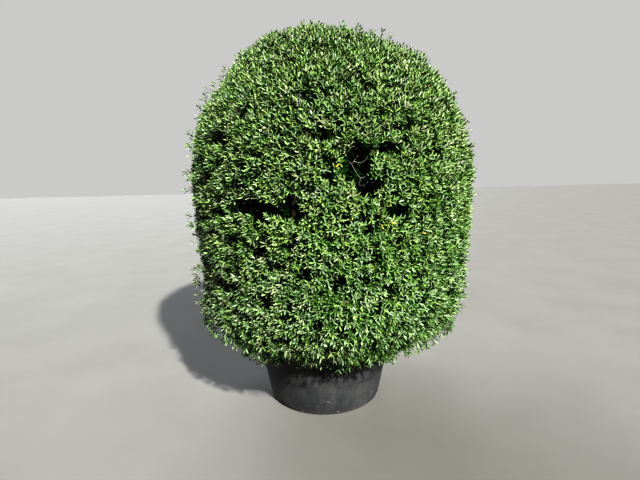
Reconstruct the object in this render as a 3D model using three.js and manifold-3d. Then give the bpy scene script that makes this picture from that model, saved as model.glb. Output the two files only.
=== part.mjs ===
// Clipped Japanese holly in a nursery tub: a beehive of dense foliage, 2.6 m tall with its pot.
// Millimetres, +Z up. The origin is the centre of the tub's flat underside, and the side
// toward -Y is the front.
import * as THREE from 'three';
import { mergeVertices } from 'three/addons/utils/BufferGeometryUtils.js';
import Module from 'manifold-3d';

const wasm = await Module();
wasm.setup();

// Clearance between neighbouring solids
const seatGap = 0.3;

// Tub: a tapered plastic nursery container with a thick rolled rim
const tubHeight = 550;
const tubFootRadius = 402;
const tubWallSlope = 0.198;
const tubWall = 8;
const tubFloor = 10;
const tubFootRound = 14;
const tubFootSteps = 3;
const tubRimOverhang = 12;
const tubRimDepth = 32;
const tubRimEdge = 4;
const tubBandHeights = [220, 320];
const tubBandStep = 2;
const tubSides = 28;

// Potting soil, level with the foot of the trunk
const soilTop = 500;

// Crown outline: an upright barrel under a half-round dome, with a rounded underside.
// It stands a little to one side of the tub, and swells a little more on that side.
const crownOffset = 37;
const crownCentreHeight = 1350;
const domeSpring = 1620;
const domeHeight = 963;
const domeRadius = 972;
const domeRoundness = 2;
const bellyRadius = 945;
const undersideTop = 860;
const undersideDepth = 490;
const undersideRoundness = 2.5;
const sideSwell = 22;

// Tiers of the crown, from below, as angles of elevation seen from the crown's centre.
// Each tier is shared by a ring of foliage masses, and turn is where its first seam lies.
const twigGrid = { rows: 2, columns: 3 };
const wideTwigGrid = { rows: 2, columns: 4 };
const tiers = [
  { name: 'skirt', low: -58, high: -24, count: 5, turn: -79, ...twigGrid },
  { name: 'belly', low: -24, high: 6.5, count: 5, turn: -43, ...wideTwigGrid },
  { name: 'shoulder', low: 6.5, high: 34, count: 5, turn: -79, ...twigGrid },
  { name: 'brow', low: 34, high: 56, count: 4, turn: -45, ...twigGrid },
];
const cap = { name: 'cap', low: 56, rows: 4, columns: 3 };

// Foliage masses
const seamMargin = 2;
const coreSeamMargin = 5;
const coreInset = 62;
const coreThickness = 125;
const coreEdgeDrop = 52;
const coreEdgeRoundness = 3;
const twigSpan = 0.9;
const twigScatter = 0.2;
const twigTries = 12;
const stemRadius = 13;
const stemReach = 90;
const stemRootDepth = 0.45;
const stemLift = 0.2;
const twigSides = 3;
const twigFootRadius = 8;
const twigTipRadius = 6;
const twigTipInset = 26;
const twigKneeDepth = 28;
const twigLean = 0.35;
const leavesPerTwig = 3;
const leafLength = 176;
const leafWidth = 82;
const leafThickness = 9;
const leafRootDepth = 2;
const leafSpacing = 9;
const leafTipMargin = 0.7;
const leafFold = 7;
const leafRise = 0.2;
const leafRiseSpread = 0.12;
const leafTwist = 0.25;
const leafOverreach = 26;
const tubClearance = 9;

// Hollows in the leafy shell: where they open, how wide and high, and how deep they run
const hollows = [
  { azimuth: -80, elevation: 16, halfWidth: 92, halfHeight: 132, depth: 250 },
  { azimuth: -108, elevation: 6.5, halfWidth: 170, halfHeight: 40, depth: 150 },
  { azimuth: -71, elevation: 5, halfWidth: 70, halfHeight: 45, depth: 140 },
];

// Trunk: a short stem that flares at the soil, leans toward the crown's axis and forks
const trunkTop = 960;
const trunkFootOffset = 8;
const trunkFootRadius = 112;
const trunkWaistRadius = 74;
const trunkTopRadius = 56;
const trunkFlareHeight = 0.16;
const trunkLobes = 5;
const trunkLobeDepth = 0.13;
const trunkSides = 15;
const trunkSteps = 7;

// Boughs: where each tier's leave the trunk, and how thick they are there
const boughFeet = {
  skirt: { height: 610, radius: 22 },
  belly: { height: 700, radius: 24 },
  shoulder: { height: 790, radius: 25 },
  brow: { height: 875, radius: 23 },
  cap: { height: trunkTop, radius: 28 },
};
const boughTipRadius = 14;
const boughLeavingAngle = 30;
const boughBend = 0.35;
const boughSides = 6;
const boughSteps = 4;

const up = new THREE.Vector3(0, 0, 1);
const degree = Math.PI / 180;

// Repeatable random numbers from 0 to 1
function seededRandom(seed) {
  let state = seed;
  return () => {
    state = (state + 0x6d2b79f5) | 0;
    let mixed = Math.imul(state ^ (state >>> 15), 1 | state);
    mixed = (mixed + Math.imul(mixed ^ (mixed >>> 7), 61 | mixed)) ^ mixed;
    return ((mixed ^ (mixed >>> 14)) >>> 0) / 4294967296;
  };
}

const random = seededRandom(1292);
const spread = (amount) => (random() * 2 - 1) * amount;

// Closed geometry to a solid, and a solid back to geometry
function toSolid(geometry) {
  const bare = geometry.clone();
  bare.deleteAttribute('normal');
  bare.deleteAttribute('uv');
  const merged = mergeVertices(bare, 1e-4);
  return new wasm.Manifold(new wasm.Mesh({
    numProp: 3,
    vertProperties: new Float32Array(merged.attributes.position.array),
    triVerts: new Uint32Array(merged.index.array),
  }));
}

function toGeometry(solid) {
  const mesh = solid.getMesh();
  const geometry = new THREE.BufferGeometry();
  geometry.setAttribute('position', new THREE.BufferAttribute(mesh.vertProperties, 3));
  geometry.setIndex(new THREE.BufferAttribute(mesh.triVerts, 1));
  return geometry;
}

// A profile of radius and height turned round the upright axis
function turned(points, sides) {
  const profile = points.map(([radius, height]) => new THREE.Vector2(radius, height));
  const geometry = new THREE.LatheGeometry(profile, sides);
  geometry.rotateX(Math.PI / 2);
  return geometry;
}

// A limb along a curve: a cylinder whose rings follow it, each of the radius given there
function limb(curve, radiusAt, sides, steps, roll = 0) {
  const geometry = new THREE.CylinderGeometry(1, 1, 1, sides, steps, false, roll);
  const frames = curve.computeFrenetFrames(steps, false);
  const position = geometry.attributes.position;
  const point = new THREE.Vector3();
  for (let i = 0; i < position.count; i += 1) {
    point.fromBufferAttribute(position, i);
    const along = point.y + 0.5;
    const ring = Math.round(along * steps);
    const radius = radiusAt(along, Math.atan2(point.x, point.z));
    const centre = curve.getPointAt(along);
    centre.addScaledVector(frames.binormals[ring], point.x * radius);
    centre.addScaledVector(frames.normals[ring], point.z * radius);
    position.setXYZ(i, centre.x, centre.y, centre.z);
  }
  return geometry;
}

// Outline of the crown
function crownFill(radius, height) {
  if (height > domeSpring) {
    const rise = (height - domeSpring) / domeHeight;
    return (radius / domeRadius) ** domeRoundness + rise ** domeRoundness;
  }
  if (height < undersideTop) {
    const drop = (undersideTop - height) / undersideDepth;
    return (radius / bellyRadius) ** undersideRoundness + drop ** undersideRoundness;
  }
  const share = (height - undersideTop) / (domeSpring - undersideTop);
  return radius / THREE.MathUtils.lerp(bellyRadius, domeRadius, share);
}

function crownReach(azimuth, elevation) {
  let near = 0;
  let far = 2 * domeRadius;
  for (let step = 0; step < 30; step += 1) {
    const middle = (near + far) / 2;
    const height = crownCentreHeight + middle * Math.sin(elevation * degree);
    if (crownFill(middle * Math.cos(elevation * degree), height) < 1) {
      near = middle;
    } else {
      far = middle;
    }
  }
  return near + sideSwell * Math.cos(azimuth * degree) * Math.cos(elevation * degree);
}

const crownCentre = new THREE.Vector3(crownOffset, 0, crownCentreHeight);

function bearing(azimuth, elevation) {
  const flat = Math.cos(elevation * degree);
  return new THREE.Vector3(
    flat * Math.cos(azimuth * degree),
    flat * Math.sin(azimuth * degree),
    Math.sin(elevation * degree),
  );
}

function crownPoint(azimuth, elevation, inset) {
  const reach = crownReach(azimuth, elevation) - inset;
  return crownCentre.clone().addScaledVector(bearing(azimuth, elevation), reach);
}

function toCrown(point) {
  const arm = point.clone().sub(crownCentre);
  const distance = arm.length();
  return {
    azimuth: Math.atan2(arm.y, arm.x) / degree,
    elevation: Math.asin(arm.z / distance) / degree,
    distance,
  };
}

const turnBetween = (from, to) => ((to - from + 540) % 360) - 180;

// The share of the crown that one mass keeps to. Across and along run from -1 to 1 over it.
function sectorCell(tier, index) {
  const width = 360 / tier.count;
  const azimuth = tier.turn + width * (index + 0.5);
  const elevation = (tier.low + tier.high) / 2;
  return {
    name: `${tier.name}_${index + 1}`,
    tier,
    azimuth,
    elevation,
    place: (across, along, margin) => {
      const flat = crownReach(azimuth, elevation) * degree;
      const sideMargin = margin / (flat * Math.cos(elevation * degree));
      return [
        azimuth + across * (width / 2 - sideMargin),
        elevation + along * ((tier.high - tier.low) / 2 - margin / flat),
      ];
    },
    holds: (point) => {
      const seen = toCrown(point);
      const margin = seamMargin / (seen.distance * degree);
      const sideMargin = margin / Math.cos(seen.elevation * degree);
      return Math.abs(turnBetween(azimuth, seen.azimuth)) < width / 2 - sideMargin
        && seen.elevation > tier.low + margin
        && seen.elevation < tier.high - margin;
    },
  };
}

function capCell() {
  return {
    name: cap.name,
    tier: cap,
    azimuth: 0,
    elevation: 90,
    place: (across, along, margin) => {
      const edge = 90 - cap.low - margin / (crownReach(0, 90) * degree);
      const outward = Math.max(Math.abs(across), Math.abs(along));
      return [Math.atan2(along, across) / degree, 90 - edge * outward];
    },
    holds: (point) => {
      const seen = toCrown(point);
      return seen.elevation > cap.low + seamMargin / (seen.distance * degree);
    },
  };
}

// How far the core's outer face lies under the crown's outline: more toward its seams
function coreInsetAt(across, along) {
  const edge = Math.max(Math.abs(across), Math.abs(along)) ** coreEdgeRoundness;
  return coreInset + coreEdgeDrop * edge;
}

// Dense inside of a mass: a curved slab under the leafy surface, rounded down at its seams
function coreSolid(cell) {
  const geometry = new THREE.BoxGeometry(2, 2, 1, 4, 3, 1);
  const position = geometry.attributes.position;
  for (let i = 0; i < position.count; i += 1) {
    const across = position.getX(i);
    const along = position.getY(i);
    const outer = position.getZ(i) > 0;
    const inset = outer ? coreInsetAt(across, along) : coreInset + coreThickness;
    const [azimuth, elevation] = cell.place(across, along, coreSeamMargin);
    const point = crownPoint(azimuth, elevation, inset);
    position.setXYZ(i, point.x, point.y, point.z);
  }
  return toSolid(geometry);
}

function leafSolid(foot, direction, facing) {
  const geometry = new THREE.OctahedronGeometry(1, 0);
  const side = new THREE.Vector3().crossVectors(facing, direction).normalize();
  const face = new THREE.Vector3().crossVectors(direction, side);
  const position = geometry.attributes.position;
  for (let i = 0; i < position.count; i += 1) {
    const across = position.getY(i);
    const point = foot.clone();
    point.addScaledVector(direction, (position.getX(i) + 1) * leafLength / 2);
    point.addScaledVector(side, across * leafWidth / 2);
    point.addScaledVector(face, position.getZ(i) * leafThickness / 2 + Math.abs(across) * leafFold);
    position.setXYZ(i, point.x, point.y, point.z);
  }
  return geometry;
}

// Space that a twig or leaf of this mass may take
function isFree(geometry, cell) {
  const position = geometry.attributes.position;
  const point = new THREE.Vector3();
  for (let i = 0; i < position.count; i += 1) {
    point.fromBufferAttribute(position, i);
    const seen = toCrown(point);
    const tubRadius = tubFootRadius + tubWallSlope * point.z + tubRimOverhang + tubClearance;
    const besideTub = Math.hypot(point.x, point.y) < tubRadius && point.z < tubHeight + tubClearance;
    const tooFar = seen.distance > crownReach(seen.azimuth, seen.elevation) + leafOverreach;
    if (!cell.holds(point) || besideTub || tooFar) {
      return false;
    }
  }
  return true;
}

function hollowSolid(hollow) {
  const geometry = new THREE.SphereGeometry(1, 10, 8);
  const outward = bearing(hollow.azimuth, hollow.elevation);
  const side = new THREE.Vector3().crossVectors(up, outward).normalize();
  const rise = new THREE.Vector3().crossVectors(outward, side);
  const centre = crownPoint(hollow.azimuth, hollow.elevation, 0);
  const frame = new THREE.Matrix4().makeBasis(side, rise, outward).setPosition(centre);
  geometry.scale(hollow.halfWidth, hollow.halfHeight, hollow.depth);
  geometry.applyMatrix4(frame);
  return toSolid(geometry);
}

// A clear space round the tub's rim, which the foliage hangs past
function tubKeepOut() {
  const base = tubFootRadius + tubRimOverhang + tubClearance;
  const top = tubHeight + tubClearance;
  const outline = [[0, 0], [base, 0], [base + tubWallSlope * top, top], [0, top]];
  return toSolid(turned(outline, tubSides));
}

// Where a mass's stem leaves its core, and the way it points
function stemOf(cell) {
  const heading = cell.elevation + (90 - cell.elevation) * stemLift;
  const direction = bearing(cell.azimuth, heading);
  const root = crownPoint(cell.azimuth, cell.elevation, coreInset + coreThickness * stemRootDepth);
  const foot = root.clone().addScaledVector(direction, -(coreThickness * (1 - stemRootDepth) + stemReach));
  return { direction, root, foot };
}

// One mass of leaves: core, stem, and twigs that fork from the stem and carry leaves.
// Whatever a hollow cuts loose is dropped.
function massSolid(cell, cuts) {
  const stem = stemOf(cell);
  let body = coreSolid(cell);
  for (const cut of cuts) {
    body = body.subtract(cut);
  }
  const stemLine = new THREE.LineCurve3(stem.foot, stem.root);
  const pieces = [toSolid(limb(stemLine, () => stemRadius, boughSides, 1))];
  const { rows, columns } = cell.tier;
  for (let row = 0; row < rows; row += 1) {
    for (let column = 0; column < columns; column += 1) {
      const across = ((column + 0.5 + spread(twigScatter)) / columns) * 2 - 1;
      const along = ((row + 0.5 + spread(twigScatter)) / rows) * 2 - 1;
      pieces.push(...fullestTwig(cell, stem, across * twigSpan, along * twigSpan));
    }
  }
  const leafy = wasm.Manifold.union(pieces);
  const whole = body.add(cuts.reduce((left, cut) => left.subtract(cut), leafy));
  return largestPiece(whole);
}

const twigRadius = (along) => THREE.MathUtils.lerp(twigFootRadius, twigTipRadius, along);

// The first of several seeded twigs at a place that keeps all its leaves, or else the leafiest
function fullestTwig(cell, stem, across, along) {
  let best = [];
  for (let attempt = 0; attempt < twigTries; attempt += 1) {
    const twig = twigWithLeaves(cell, stem, across, along);
    if (twig.length > best.length) {
      best = twig;
    }
    if (best.length === 2 + leavesPerTwig) {
      break;
    }
  }
  return best;
}

// A twig in two straight lengths, out to a knee under the core's face and then up through it
function twigWithLeaves(cell, stem, across, along) {
  const [azimuth, elevation] = cell.place(across, along, coreSeamMargin);
  const kneeInset = coreInsetAt(across, along) + twigKneeDepth;
  const knee = crownPoint(azimuth, elevation, kneeInset);
  const lean = new THREE.Vector3(spread(twigLean), spread(twigLean), spread(twigLean));
  const heading = bearing(azimuth, elevation).add(lean).normalize();
  const tip = knee.clone().addScaledVector(heading, kneeInset - twigTipInset);
  const line = new THREE.LineCurve3(knee, tip);
  const roll = random() * 2 * Math.PI;
  const twig = limb(line, twigRadius, twigSides, 1, roll);
  if (!isFree(twig, cell)) {
    return [];
  }
  const inner = limb(new THREE.LineCurve3(stem.root, knee), () => twigFootRadius, twigSides, 1);
  const solids = [toSolid(inner), toSolid(twig)];
  const frames = line.computeFrenetFrames(1, false);
  for (let leaf = 0; leaf < leavesPerTwig; leaf += 1) {
    const angle = roll + ((leaf + 0.5) / leavesPerTwig) * 2 * Math.PI + spread(leafTwist);
    const direction = frames.binormals[0].clone().multiplyScalar(Math.sin(angle));
    direction.addScaledVector(frames.normals[0], Math.cos(angle));
    direction.addScaledVector(heading, leafRise + spread(leafRiseSpread)).normalize();
    const foot = tip.clone().addScaledVector(heading, -leafSpacing * (leaf + leafTipMargin));
    foot.addScaledVector(direction, -leafRootDepth);
    const blade = leafSolid(foot, direction, heading);
    if (isFree(blade, cell)) {
      solids.push(toSolid(blade));
    }
  }
  return solids;
}

function largestPiece(solid) {
  const parts = solid.decompose();
  parts.sort((one, other) => other.volume() - one.volume());
  return parts[0];
}

// Trunk, and the same shape a hair larger, which the boughs are cut by
function trunkGeometry(growth) {
  const foot = new THREE.Vector3(trunkFootOffset, 0, soilTop + seatGap - growth);
  const top = new THREE.Vector3(crownOffset, 0, trunkTop + growth);
  const rise = (trunkTop - soilTop) / 3;
  const curve = new THREE.CubicBezierCurve3(
    foot,
    foot.clone().addScaledVector(up, rise),
    top.clone().addScaledVector(up, -rise),
    top,
  );
  const radiusAt = (along, angle) => {
    const flare = Math.exp(-along / trunkFlareHeight);
    const plain = THREE.MathUtils.lerp(trunkWaistRadius, trunkTopRadius, along);
    const lobe = 1 + trunkLobeDepth * flare * Math.cos(trunkLobes * angle);
    return (plain + (trunkFootRadius - trunkWaistRadius) * flare) * lobe + growth;
  };
  return limb(curve, radiusAt, trunkSides, trunkSteps);
}

// One bough, from inside the trunk to the foot of its mass's stem
function boughSolid(cell, trunkCut) {
  const stem = stemOf(cell);
  const end = stem.foot.clone().addScaledVector(stem.direction, -seatGap);
  const boughFoot = boughFeet[cell.tier.name];
  const radiusAt = (along) => THREE.MathUtils.lerp(boughFoot.radius, boughTipRadius, along);
  if (cell.tier === cap) {
    const base = new THREE.Vector3(crownOffset, 0, trunkTop + seatGap);
    return toSolid(limb(new THREE.LineCurve3(base, end), radiusAt, boughSides, 1));
  }
  const climb = (boughFoot.height - soilTop) / (trunkTop - soilTop);
  const lean = THREE.MathUtils.lerp(trunkFootOffset, crownOffset, climb);
  const start = new THREE.Vector3(lean, 0, boughFoot.height);
  const leaving = bearing(cell.azimuth, boughLeavingAngle);
  const handle = start.distanceTo(end) * boughBend;
  const curve = new THREE.CubicBezierCurve3(
    start,
    start.clone().addScaledVector(leaving, handle),
    end.clone().addScaledVector(stem.direction, -handle),
    end,
  );
  const whole = toSolid(limb(curve, radiusAt, boughSides, boughSteps));
  return largestPiece(whole.subtract(trunkCut));
}

function tubGeometry() {
  const wallAt = (height) => tubFootRadius + tubWallSlope * height;
  const points = [[0, 0]];
  for (let step = 0; step <= tubFootSteps; step += 1) {
    const angle = (step / tubFootSteps) * (Math.PI / 2);
    points.push([
      wallAt(0) - tubFootRound * (1 - Math.sin(angle)),
      tubFootRound * (1 - Math.cos(angle)),
    ]);
  }
  let stepOut = 0;
  for (const height of tubBandHeights) {
    points.push([wallAt(height) + stepOut, height]);
    stepOut += tubBandStep;
    points.push([wallAt(height) + stepOut, height + tubBandStep]);
  }
  const rimFoot = tubHeight - tubRimDepth;
  const rimRadius = wallAt(tubHeight) + tubRimOverhang;
  points.push([wallAt(rimFoot) + stepOut, rimFoot]);
  points.push([rimRadius - tubRimEdge, rimFoot + tubRimEdge]);
  points.push([rimRadius, tubHeight - tubRimEdge]);
  points.push([rimRadius - tubRimEdge, tubHeight]);
  points.push([wallAt(tubHeight) - tubWall, tubHeight]);
  points.push([wallAt(tubFloor) - tubWall, tubFloor]);
  points.push([0, tubFloor]);
  return turned(points, tubSides);
}

function soilGeometry() {
  const bottom = tubFloor + seatGap;
  const wallAt = (height) => tubFootRadius + tubWallSlope * height - tubWall - seatGap;
  const outline = [[0, bottom], [wallAt(bottom), bottom], [wallAt(soilTop), soilTop], [0, soilTop]];
  return turned(outline, tubSides);
}

// Materials
const tubPlastic = { color: 0x33353a, roughness: 0.62, metalness: 0 };
const soilCrumb = { color: 0x3a2b20, roughness: 0.95, metalness: 0 };
const bark = { color: 0x6d5f50, roughness: 0.9, metalness: 0 };
const leafGreen = { color: 0x3f7a22, roughness: 0.42, metalness: 0 };

const group = new THREE.Group();

function addPart(name, geometry, finish) {
  const mesh = new THREE.Mesh(geometry, new THREE.MeshStandardMaterial(finish));
  mesh.name = name;
  group.add(mesh);
}

addPart('pot', tubGeometry(), tubPlastic);
addPart('soil', soilGeometry(), soilCrumb);
addPart('trunk', trunkGeometry(0), bark);

const trunkCut = toSolid(trunkGeometry(seatGap));
const cuts = [tubKeepOut(), ...hollows.map(hollowSolid)];
const ringOf = (tier) => Array.from({ length: tier.count }, (_, index) => sectorCell(tier, index));
const cells = tiers.flatMap(ringOf);
cells.push(capCell());

for (const cell of cells) {
  addPart(`bough_${cell.name}`, toGeometry(boughSolid(cell, trunkCut)), bark);
  addPart(`foliage_${cell.name}`, toGeometry(massSolid(cell, cuts)), leafGreen);
}

export default group;
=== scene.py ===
"""Clipped Japanese holly in a nursery tub: its looks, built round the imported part.

Points are worked out in millimetres, as in the part's source, and meshes are made in metres.
Azimuths and elevations are angles in degrees at the crown's centre: an azimuth is counted from
the right toward the back, and the camera stands near -90. An inset is a depth under the crown's
outline.
"""

import math

import bpy
import numpy as np
from mathutils import Matrix, Vector, noise


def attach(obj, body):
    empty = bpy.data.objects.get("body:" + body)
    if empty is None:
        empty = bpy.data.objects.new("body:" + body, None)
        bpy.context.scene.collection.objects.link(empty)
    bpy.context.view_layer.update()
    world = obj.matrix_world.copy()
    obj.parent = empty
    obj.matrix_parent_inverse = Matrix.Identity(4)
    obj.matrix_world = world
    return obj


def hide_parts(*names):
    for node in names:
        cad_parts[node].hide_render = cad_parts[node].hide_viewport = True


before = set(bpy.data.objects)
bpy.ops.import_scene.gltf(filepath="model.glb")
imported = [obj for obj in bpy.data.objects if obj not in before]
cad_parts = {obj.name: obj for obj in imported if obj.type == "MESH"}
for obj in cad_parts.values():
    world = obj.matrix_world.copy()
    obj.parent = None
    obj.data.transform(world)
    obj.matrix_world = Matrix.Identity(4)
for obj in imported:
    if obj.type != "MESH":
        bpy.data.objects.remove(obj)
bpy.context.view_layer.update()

METRE = 0.001
UP = np.array([0.0, 0.0, 1.0])
GOLDEN_ANGLE = math.radians(137.508)
rng = np.random.default_rng(1292)

# Tub
TUB_HEIGHT = 550
TUB_FOOT_RADIUS = 402
TUB_WALL_SLOPE = 0.198
TUB_WALL = 8
TUB_FLOOR = 10
TUB_FLOOR_RING = 201
TUB_FOOT_ROUND = 14
TUB_RIM_OVERHANG = 12
TUB_RIM_DEPTH = 32
TUB_RIM_ROUND = 9
TUB_LIP_ROUND = 3
TUB_BAND_HEIGHTS = (220, 320)
TUB_BAND_STEP = 2
TUB_BAND_GAP = 12
TUB_UPPER_WALL_START = 340
TUB_INSIDE_START = 520
TUB_SIDES = 160
TUB_SHARP_ANGLE = 32
TUB_CLEARANCE = 9
# How the wall is out of round: waves round it, their height as a share of the radius, and turn
TUB_WAVES = ((2, 0.0012, 0.7), (3, 0.0009, 0))
# Shift of the dust's noise, which puts its lighter patches on the sunlit right side: painted light on
# real dust
TUB_DUST_LIGHT_SHIFT = (3.1, 1.7, 0.4)
TUB_COLOURS = {
    "plain": (0.05, 0.05, 0.052),
    "clean": (0.0375, 0.039, 0.0415),
    "dust_and_light": (0.104, 0.105, 0.104),
    # Real dust, whose lighter patches also serve as painted light
    "specks": (0.026, 0.027, 0.029),
    "painted_step_shade": (0.024, 0.024, 0.025),
    # Painted shade under the mould steps
    "dirt": (0.12, 0.09, 0.06),
    "scratches": (0.24, 0.24, 0.23),
    "scuffs": (0.36, 0.36, 0.34),
}

# Soil; relief is given in layers of height, size and seed
SOIL_TOP = 500
SOIL_GAP = 0.3
SOIL_SIDES = 96
SOIL_RINGS = 30
SOIL_RELIEF = ((9, 95, 1), (4.05, 28, 2))
SOIL_CALM_EDGE = 25
SOIL_CALM_SHARE = 0.15
SOIL_CRUMBS = 420
CRUMB_SIZES = (3, 9)
CRUMB_SHAPES = (0.6, 1.2)
FALLEN_LEAVES = 110
FALLEN_LENGTHS = (22, 32)
FALLEN_LIFT = 8
FALLEN_SLOPE = 0.25
FALLEN_TILT = 0.35
FALLEN_WIDTH_SHARE = 0.42
FALLEN_FOLD = 0.5
FALLEN_FIRST_TINT = 0.6
# Rings of soil that the crumbs and the fallen leaves keep to: radius, and gap to the wall
CRUMB_RING = (125, 22)
FALLEN_RING = (130, 40)
SOIL_COLOURS = {
    "plain": (0.045, 0.030, 0.020),
    "dark": (0.022, 0.014, 0.009),
    "light": (0.085, 0.058, 0.038),
    "damp": (0.018, 0.012, 0.009),
}

# Crown outline
CROWN_OFFSET = 37
CROWN_CENTRE_HEIGHT = 1350
DOME_SPRING = 1620
DOME_HEIGHT = 963
DOME_RADIUS = 972
DOME_ROUNDNESS = 2
BELLY_RADIUS = 945
UNDERSIDE_TOP = 860
UNDERSIDE_DEPTH = 490
UNDERSIDE_ROUNDNESS = 2.5
SIDE_SWELL = 22

# Bulges of the clipped outline in the picture: an angle that is counted from its right over
# its top, and how far the outline stands out there, or in
OUTLINE_BULGES = (
    (12, -4), (42, 0), (69, -42), (90, -10), (114, 40), (141, -34), (156, -10), (171, -26),
    (190, -18), (204, 40), (219, -40), (240, 26), (262, 0), (270, -30), (282, 14), (294, -24),
    (312, 24), (330, -30), (345, 18),
)

# Tiers of the crown: elevations from the crown's centre, masses in the ring, azimuth of the
# first seam, and the rows and columns of the main twigs in each mass
TIERS = {
    "skirt": {"low": -58, "high": -24, "count": 5, "turn": -79, "rows": 2, "columns": 3},
    "belly": {"low": -24, "high": 6.5, "count": 5, "turn": -43, "rows": 2, "columns": 4},
    "shoulder": {"low": 6.5, "high": 34, "count": 5, "turn": -79, "rows": 2, "columns": 3},
    "brow": {"low": 34, "high": 56, "count": 4, "turn": -45, "rows": 2, "columns": 3},
    "cap": {"low": 56, "high": 90, "count": 1, "turn": -180, "rows": 4, "columns": 3},
}

# Trunk, with its relief in layers like the soil's; the grain draws relief out upward
TRUNK_TOP = 960
TRUNK_SINK = 6
TRUNK_FOOT_OFFSET = 8
TRUNK_FOOT_RADIUS = 112
TRUNK_WAIST_RADIUS = 74
TRUNK_TOP_RADIUS = 56
TRUNK_TOP_ROUND = 0.9
TRUNK_FLARE_HEIGHT = 0.16
TRUNK_LOBES = 5
TRUNK_LOBE_DEPTH = 0.13
TRUNK_FLUTES = 3
TRUNK_FLUTE_DEPTH = 0.03
TRUNK_FLUTE_TURN = 4
TRUNK_SIDES = 64
TRUNK_STEPS = 56
TRUNK_RELIEF = ((3.2, 30, 3), (1.8, 11, 4))
TRUNK_GRAIN = 0.3

# Boughs: height of the foot and radius there for each tier
BOUGH_FEET = {
    "skirt": (610, 22),
    "belly": (700, 24),
    "shoulder": (790, 25),
    "brow": (875, 23),
    "cap": (TRUNK_TOP, 28),
}
BOUGH_TIP_RADIUS = 14
BOUGH_COLLAR = 0.5
BOUGH_COLLAR_LENGTH = 95
BOUGH_LEAVING_ANGLE = 30
BOUGH_BEND = 0.35
BOUGH_OVERLAP = 2
BOUGH_SWAY = 9
BOUGH_SWAY_SIZE = 160
BOUGH_SWAY_SEEDS = (11, 12, 13)
BOUGH_SIDES = 14
BOUGH_STEPS = 26
# Depth and size of the bark's relief in two layers, and the first bough's first seed
BOUGH_RELIEF = ((1.7, 26), (0.85, 10.4))
BOUGH_RELIEF_SEED = 20
BOUGH_GRAIN = 0.35

# Cores and stems of the crown's masses, as in the part's source
CORE_INSET = 62
CORE_THICKNESS = 125
STEM_REACH = 90
STEM_ROOT_DEPTH = 0.45
STEM_LIFT = 0.2

# Twigs, from the stem of a mass to its leafy shoots: each form has radii and a number of sides
STEM_FORM = ((13, 9), 8)
STEM_TUBE_SHARE = 0.8
MAIN_TWIG_FORM = ((7.5, 6.4, 5.5), 6)
CLUMP_TWIG_FORM = ((4.2, 3.2, 2.2), 4)
THICKET_TWIG_FORM = ((4.6, 3.4, 2.4), 4)
CARRIER_TWIG_FORM = ((4.2, 2.8, 1.8), 4)
KNEE_INSET = 168
KNEE_INSET_SCATTER = 14
KNEE_SCATTER = 0.2
KNEE_REACH = 0.9
MAIN_TWIG_START = (0.25, 0.85)
MAIN_TWIG_SAG = 26
MAIN_TWIG_SCATTER = 12
MAIN_TWIG_TIP = 22
CLUMP_TWIG_START = (0, 0.35)
CLUMP_TWIG_SAG = 14
CLUMP_TWIG_SCATTER = 9
CLUMP_TWIG_TIP = 8

# Clumps of shoots
CLUMP_SPACING = 90
CLUMP_SCATTER = 0.28
CLUMP_RISE_SCATTER = 1.44396
CLUMP_STAGGER = 0.25
CLUMP_INSET = 112
CLUMP_INSET_SCATTER = 14
CLUMP_SHIFT = 16
CLUMP_DOME = 14
CLUMP_SWELL = ((11, 330, 5), (6, 120, 6))
CLUMP_SWELL_SCATTER = 5
# How far a clump's shoots climb before they reach the surface, by elevation
SHOOT_LIFTS = ((-60, -8), (-45, 6), (-25, 22), (0, 42), (25, 48), (50, 34), (80, 10), (90, 0))
# How far the shoots stop short of the outline: everywhere, by elevation, and more to the left
TRIM = 10
TRIM_BELOW = ((-45, 30), (-8, 0))
TRIM_LEFT = 14

# Shoots
SHOOTS_PER_CLUMP = 13
SHOOT_DISC = 68
SHOOT_DISC_SCATTER = 9
SHOOT_FOOT_SHARE = 0.22
SHOOT_RADIUS = 1.5
SHOOT_SHORTFALL = 22
SHOOT_OVERSHOOT = 8
LOOSE_SHARE = 0.035
LOOSE_OVERSHOOT = (4, 19)

# Leaves; curves are given as points of place and value
LEAF_CORNERS = ((0, 0), (0.30, 0.41), (0.68, 0.5), (1, 0), (0.68, -0.5), (0.30, -0.41))
LEAF_HALVES = ([0, 1, 2, 3], [0, 3, 4, 5])
LEAVES_PER_SHOOT = 8
LEAF_SPACING = 5
LEAF_SPACING_SHARES = (0.8, 1.15)
FIRST_LEAF_BACK = 1.5
LEAF_FOLD = (-0.55, 0.5)
LEAF_PITCHES = ((0, 24), (2, 42), (4, 56), (8, 72))
LEAF_PITCH_SCATTER = 11
LEAF_TURN_SCATTER = 0.3
LEAF_SIZES = ((600, 37), (1300, 37), (1900, 36.5), (2500, 34))
LEAF_GROWTH = ((0, 0.66), (1, 0.84), (3, 1), (8, 1.04))
LEAF_LENGTH_SHARES = (0.84, 1.14)
LEAF_WIDTH_SHARES = (0.205, 0.265)
LEAF_LIGHT_SHARES = (0.15, 1.35)
LEAF_UPWARD = 0.5
LEAF_OUTWARD = 0.75
LEAF_TILT_SCATTER = 0.4
PALER_TIPS = 0.35
PALER_BEFORE = 3
# Leaves farther in than this take a deeper tint, for age and as painted shade
DEEPER_AFTER = 4
# Leaves farther in than this are near-black painted shade, one leaf earlier on some shoots
SHADED_FROM = 6
SHADED_EARLIER = 0.45

# Older leaves, coloured near-black as painted shade: number on each twig, and lengths
INNER_LEAVES = (13, 36, 48)
THICKET_LEAVES = (8, 54, 76)
INNER_LEAF_WIDTH_SHARE = 0.5
INNER_LEAF_FOLD = 0.4
INNER_LEAF_PLACES = (0.15, 2)
INNER_LEAF_OUTWARD = 0.15
INNER_LEAF_TILT = 0.35

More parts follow.
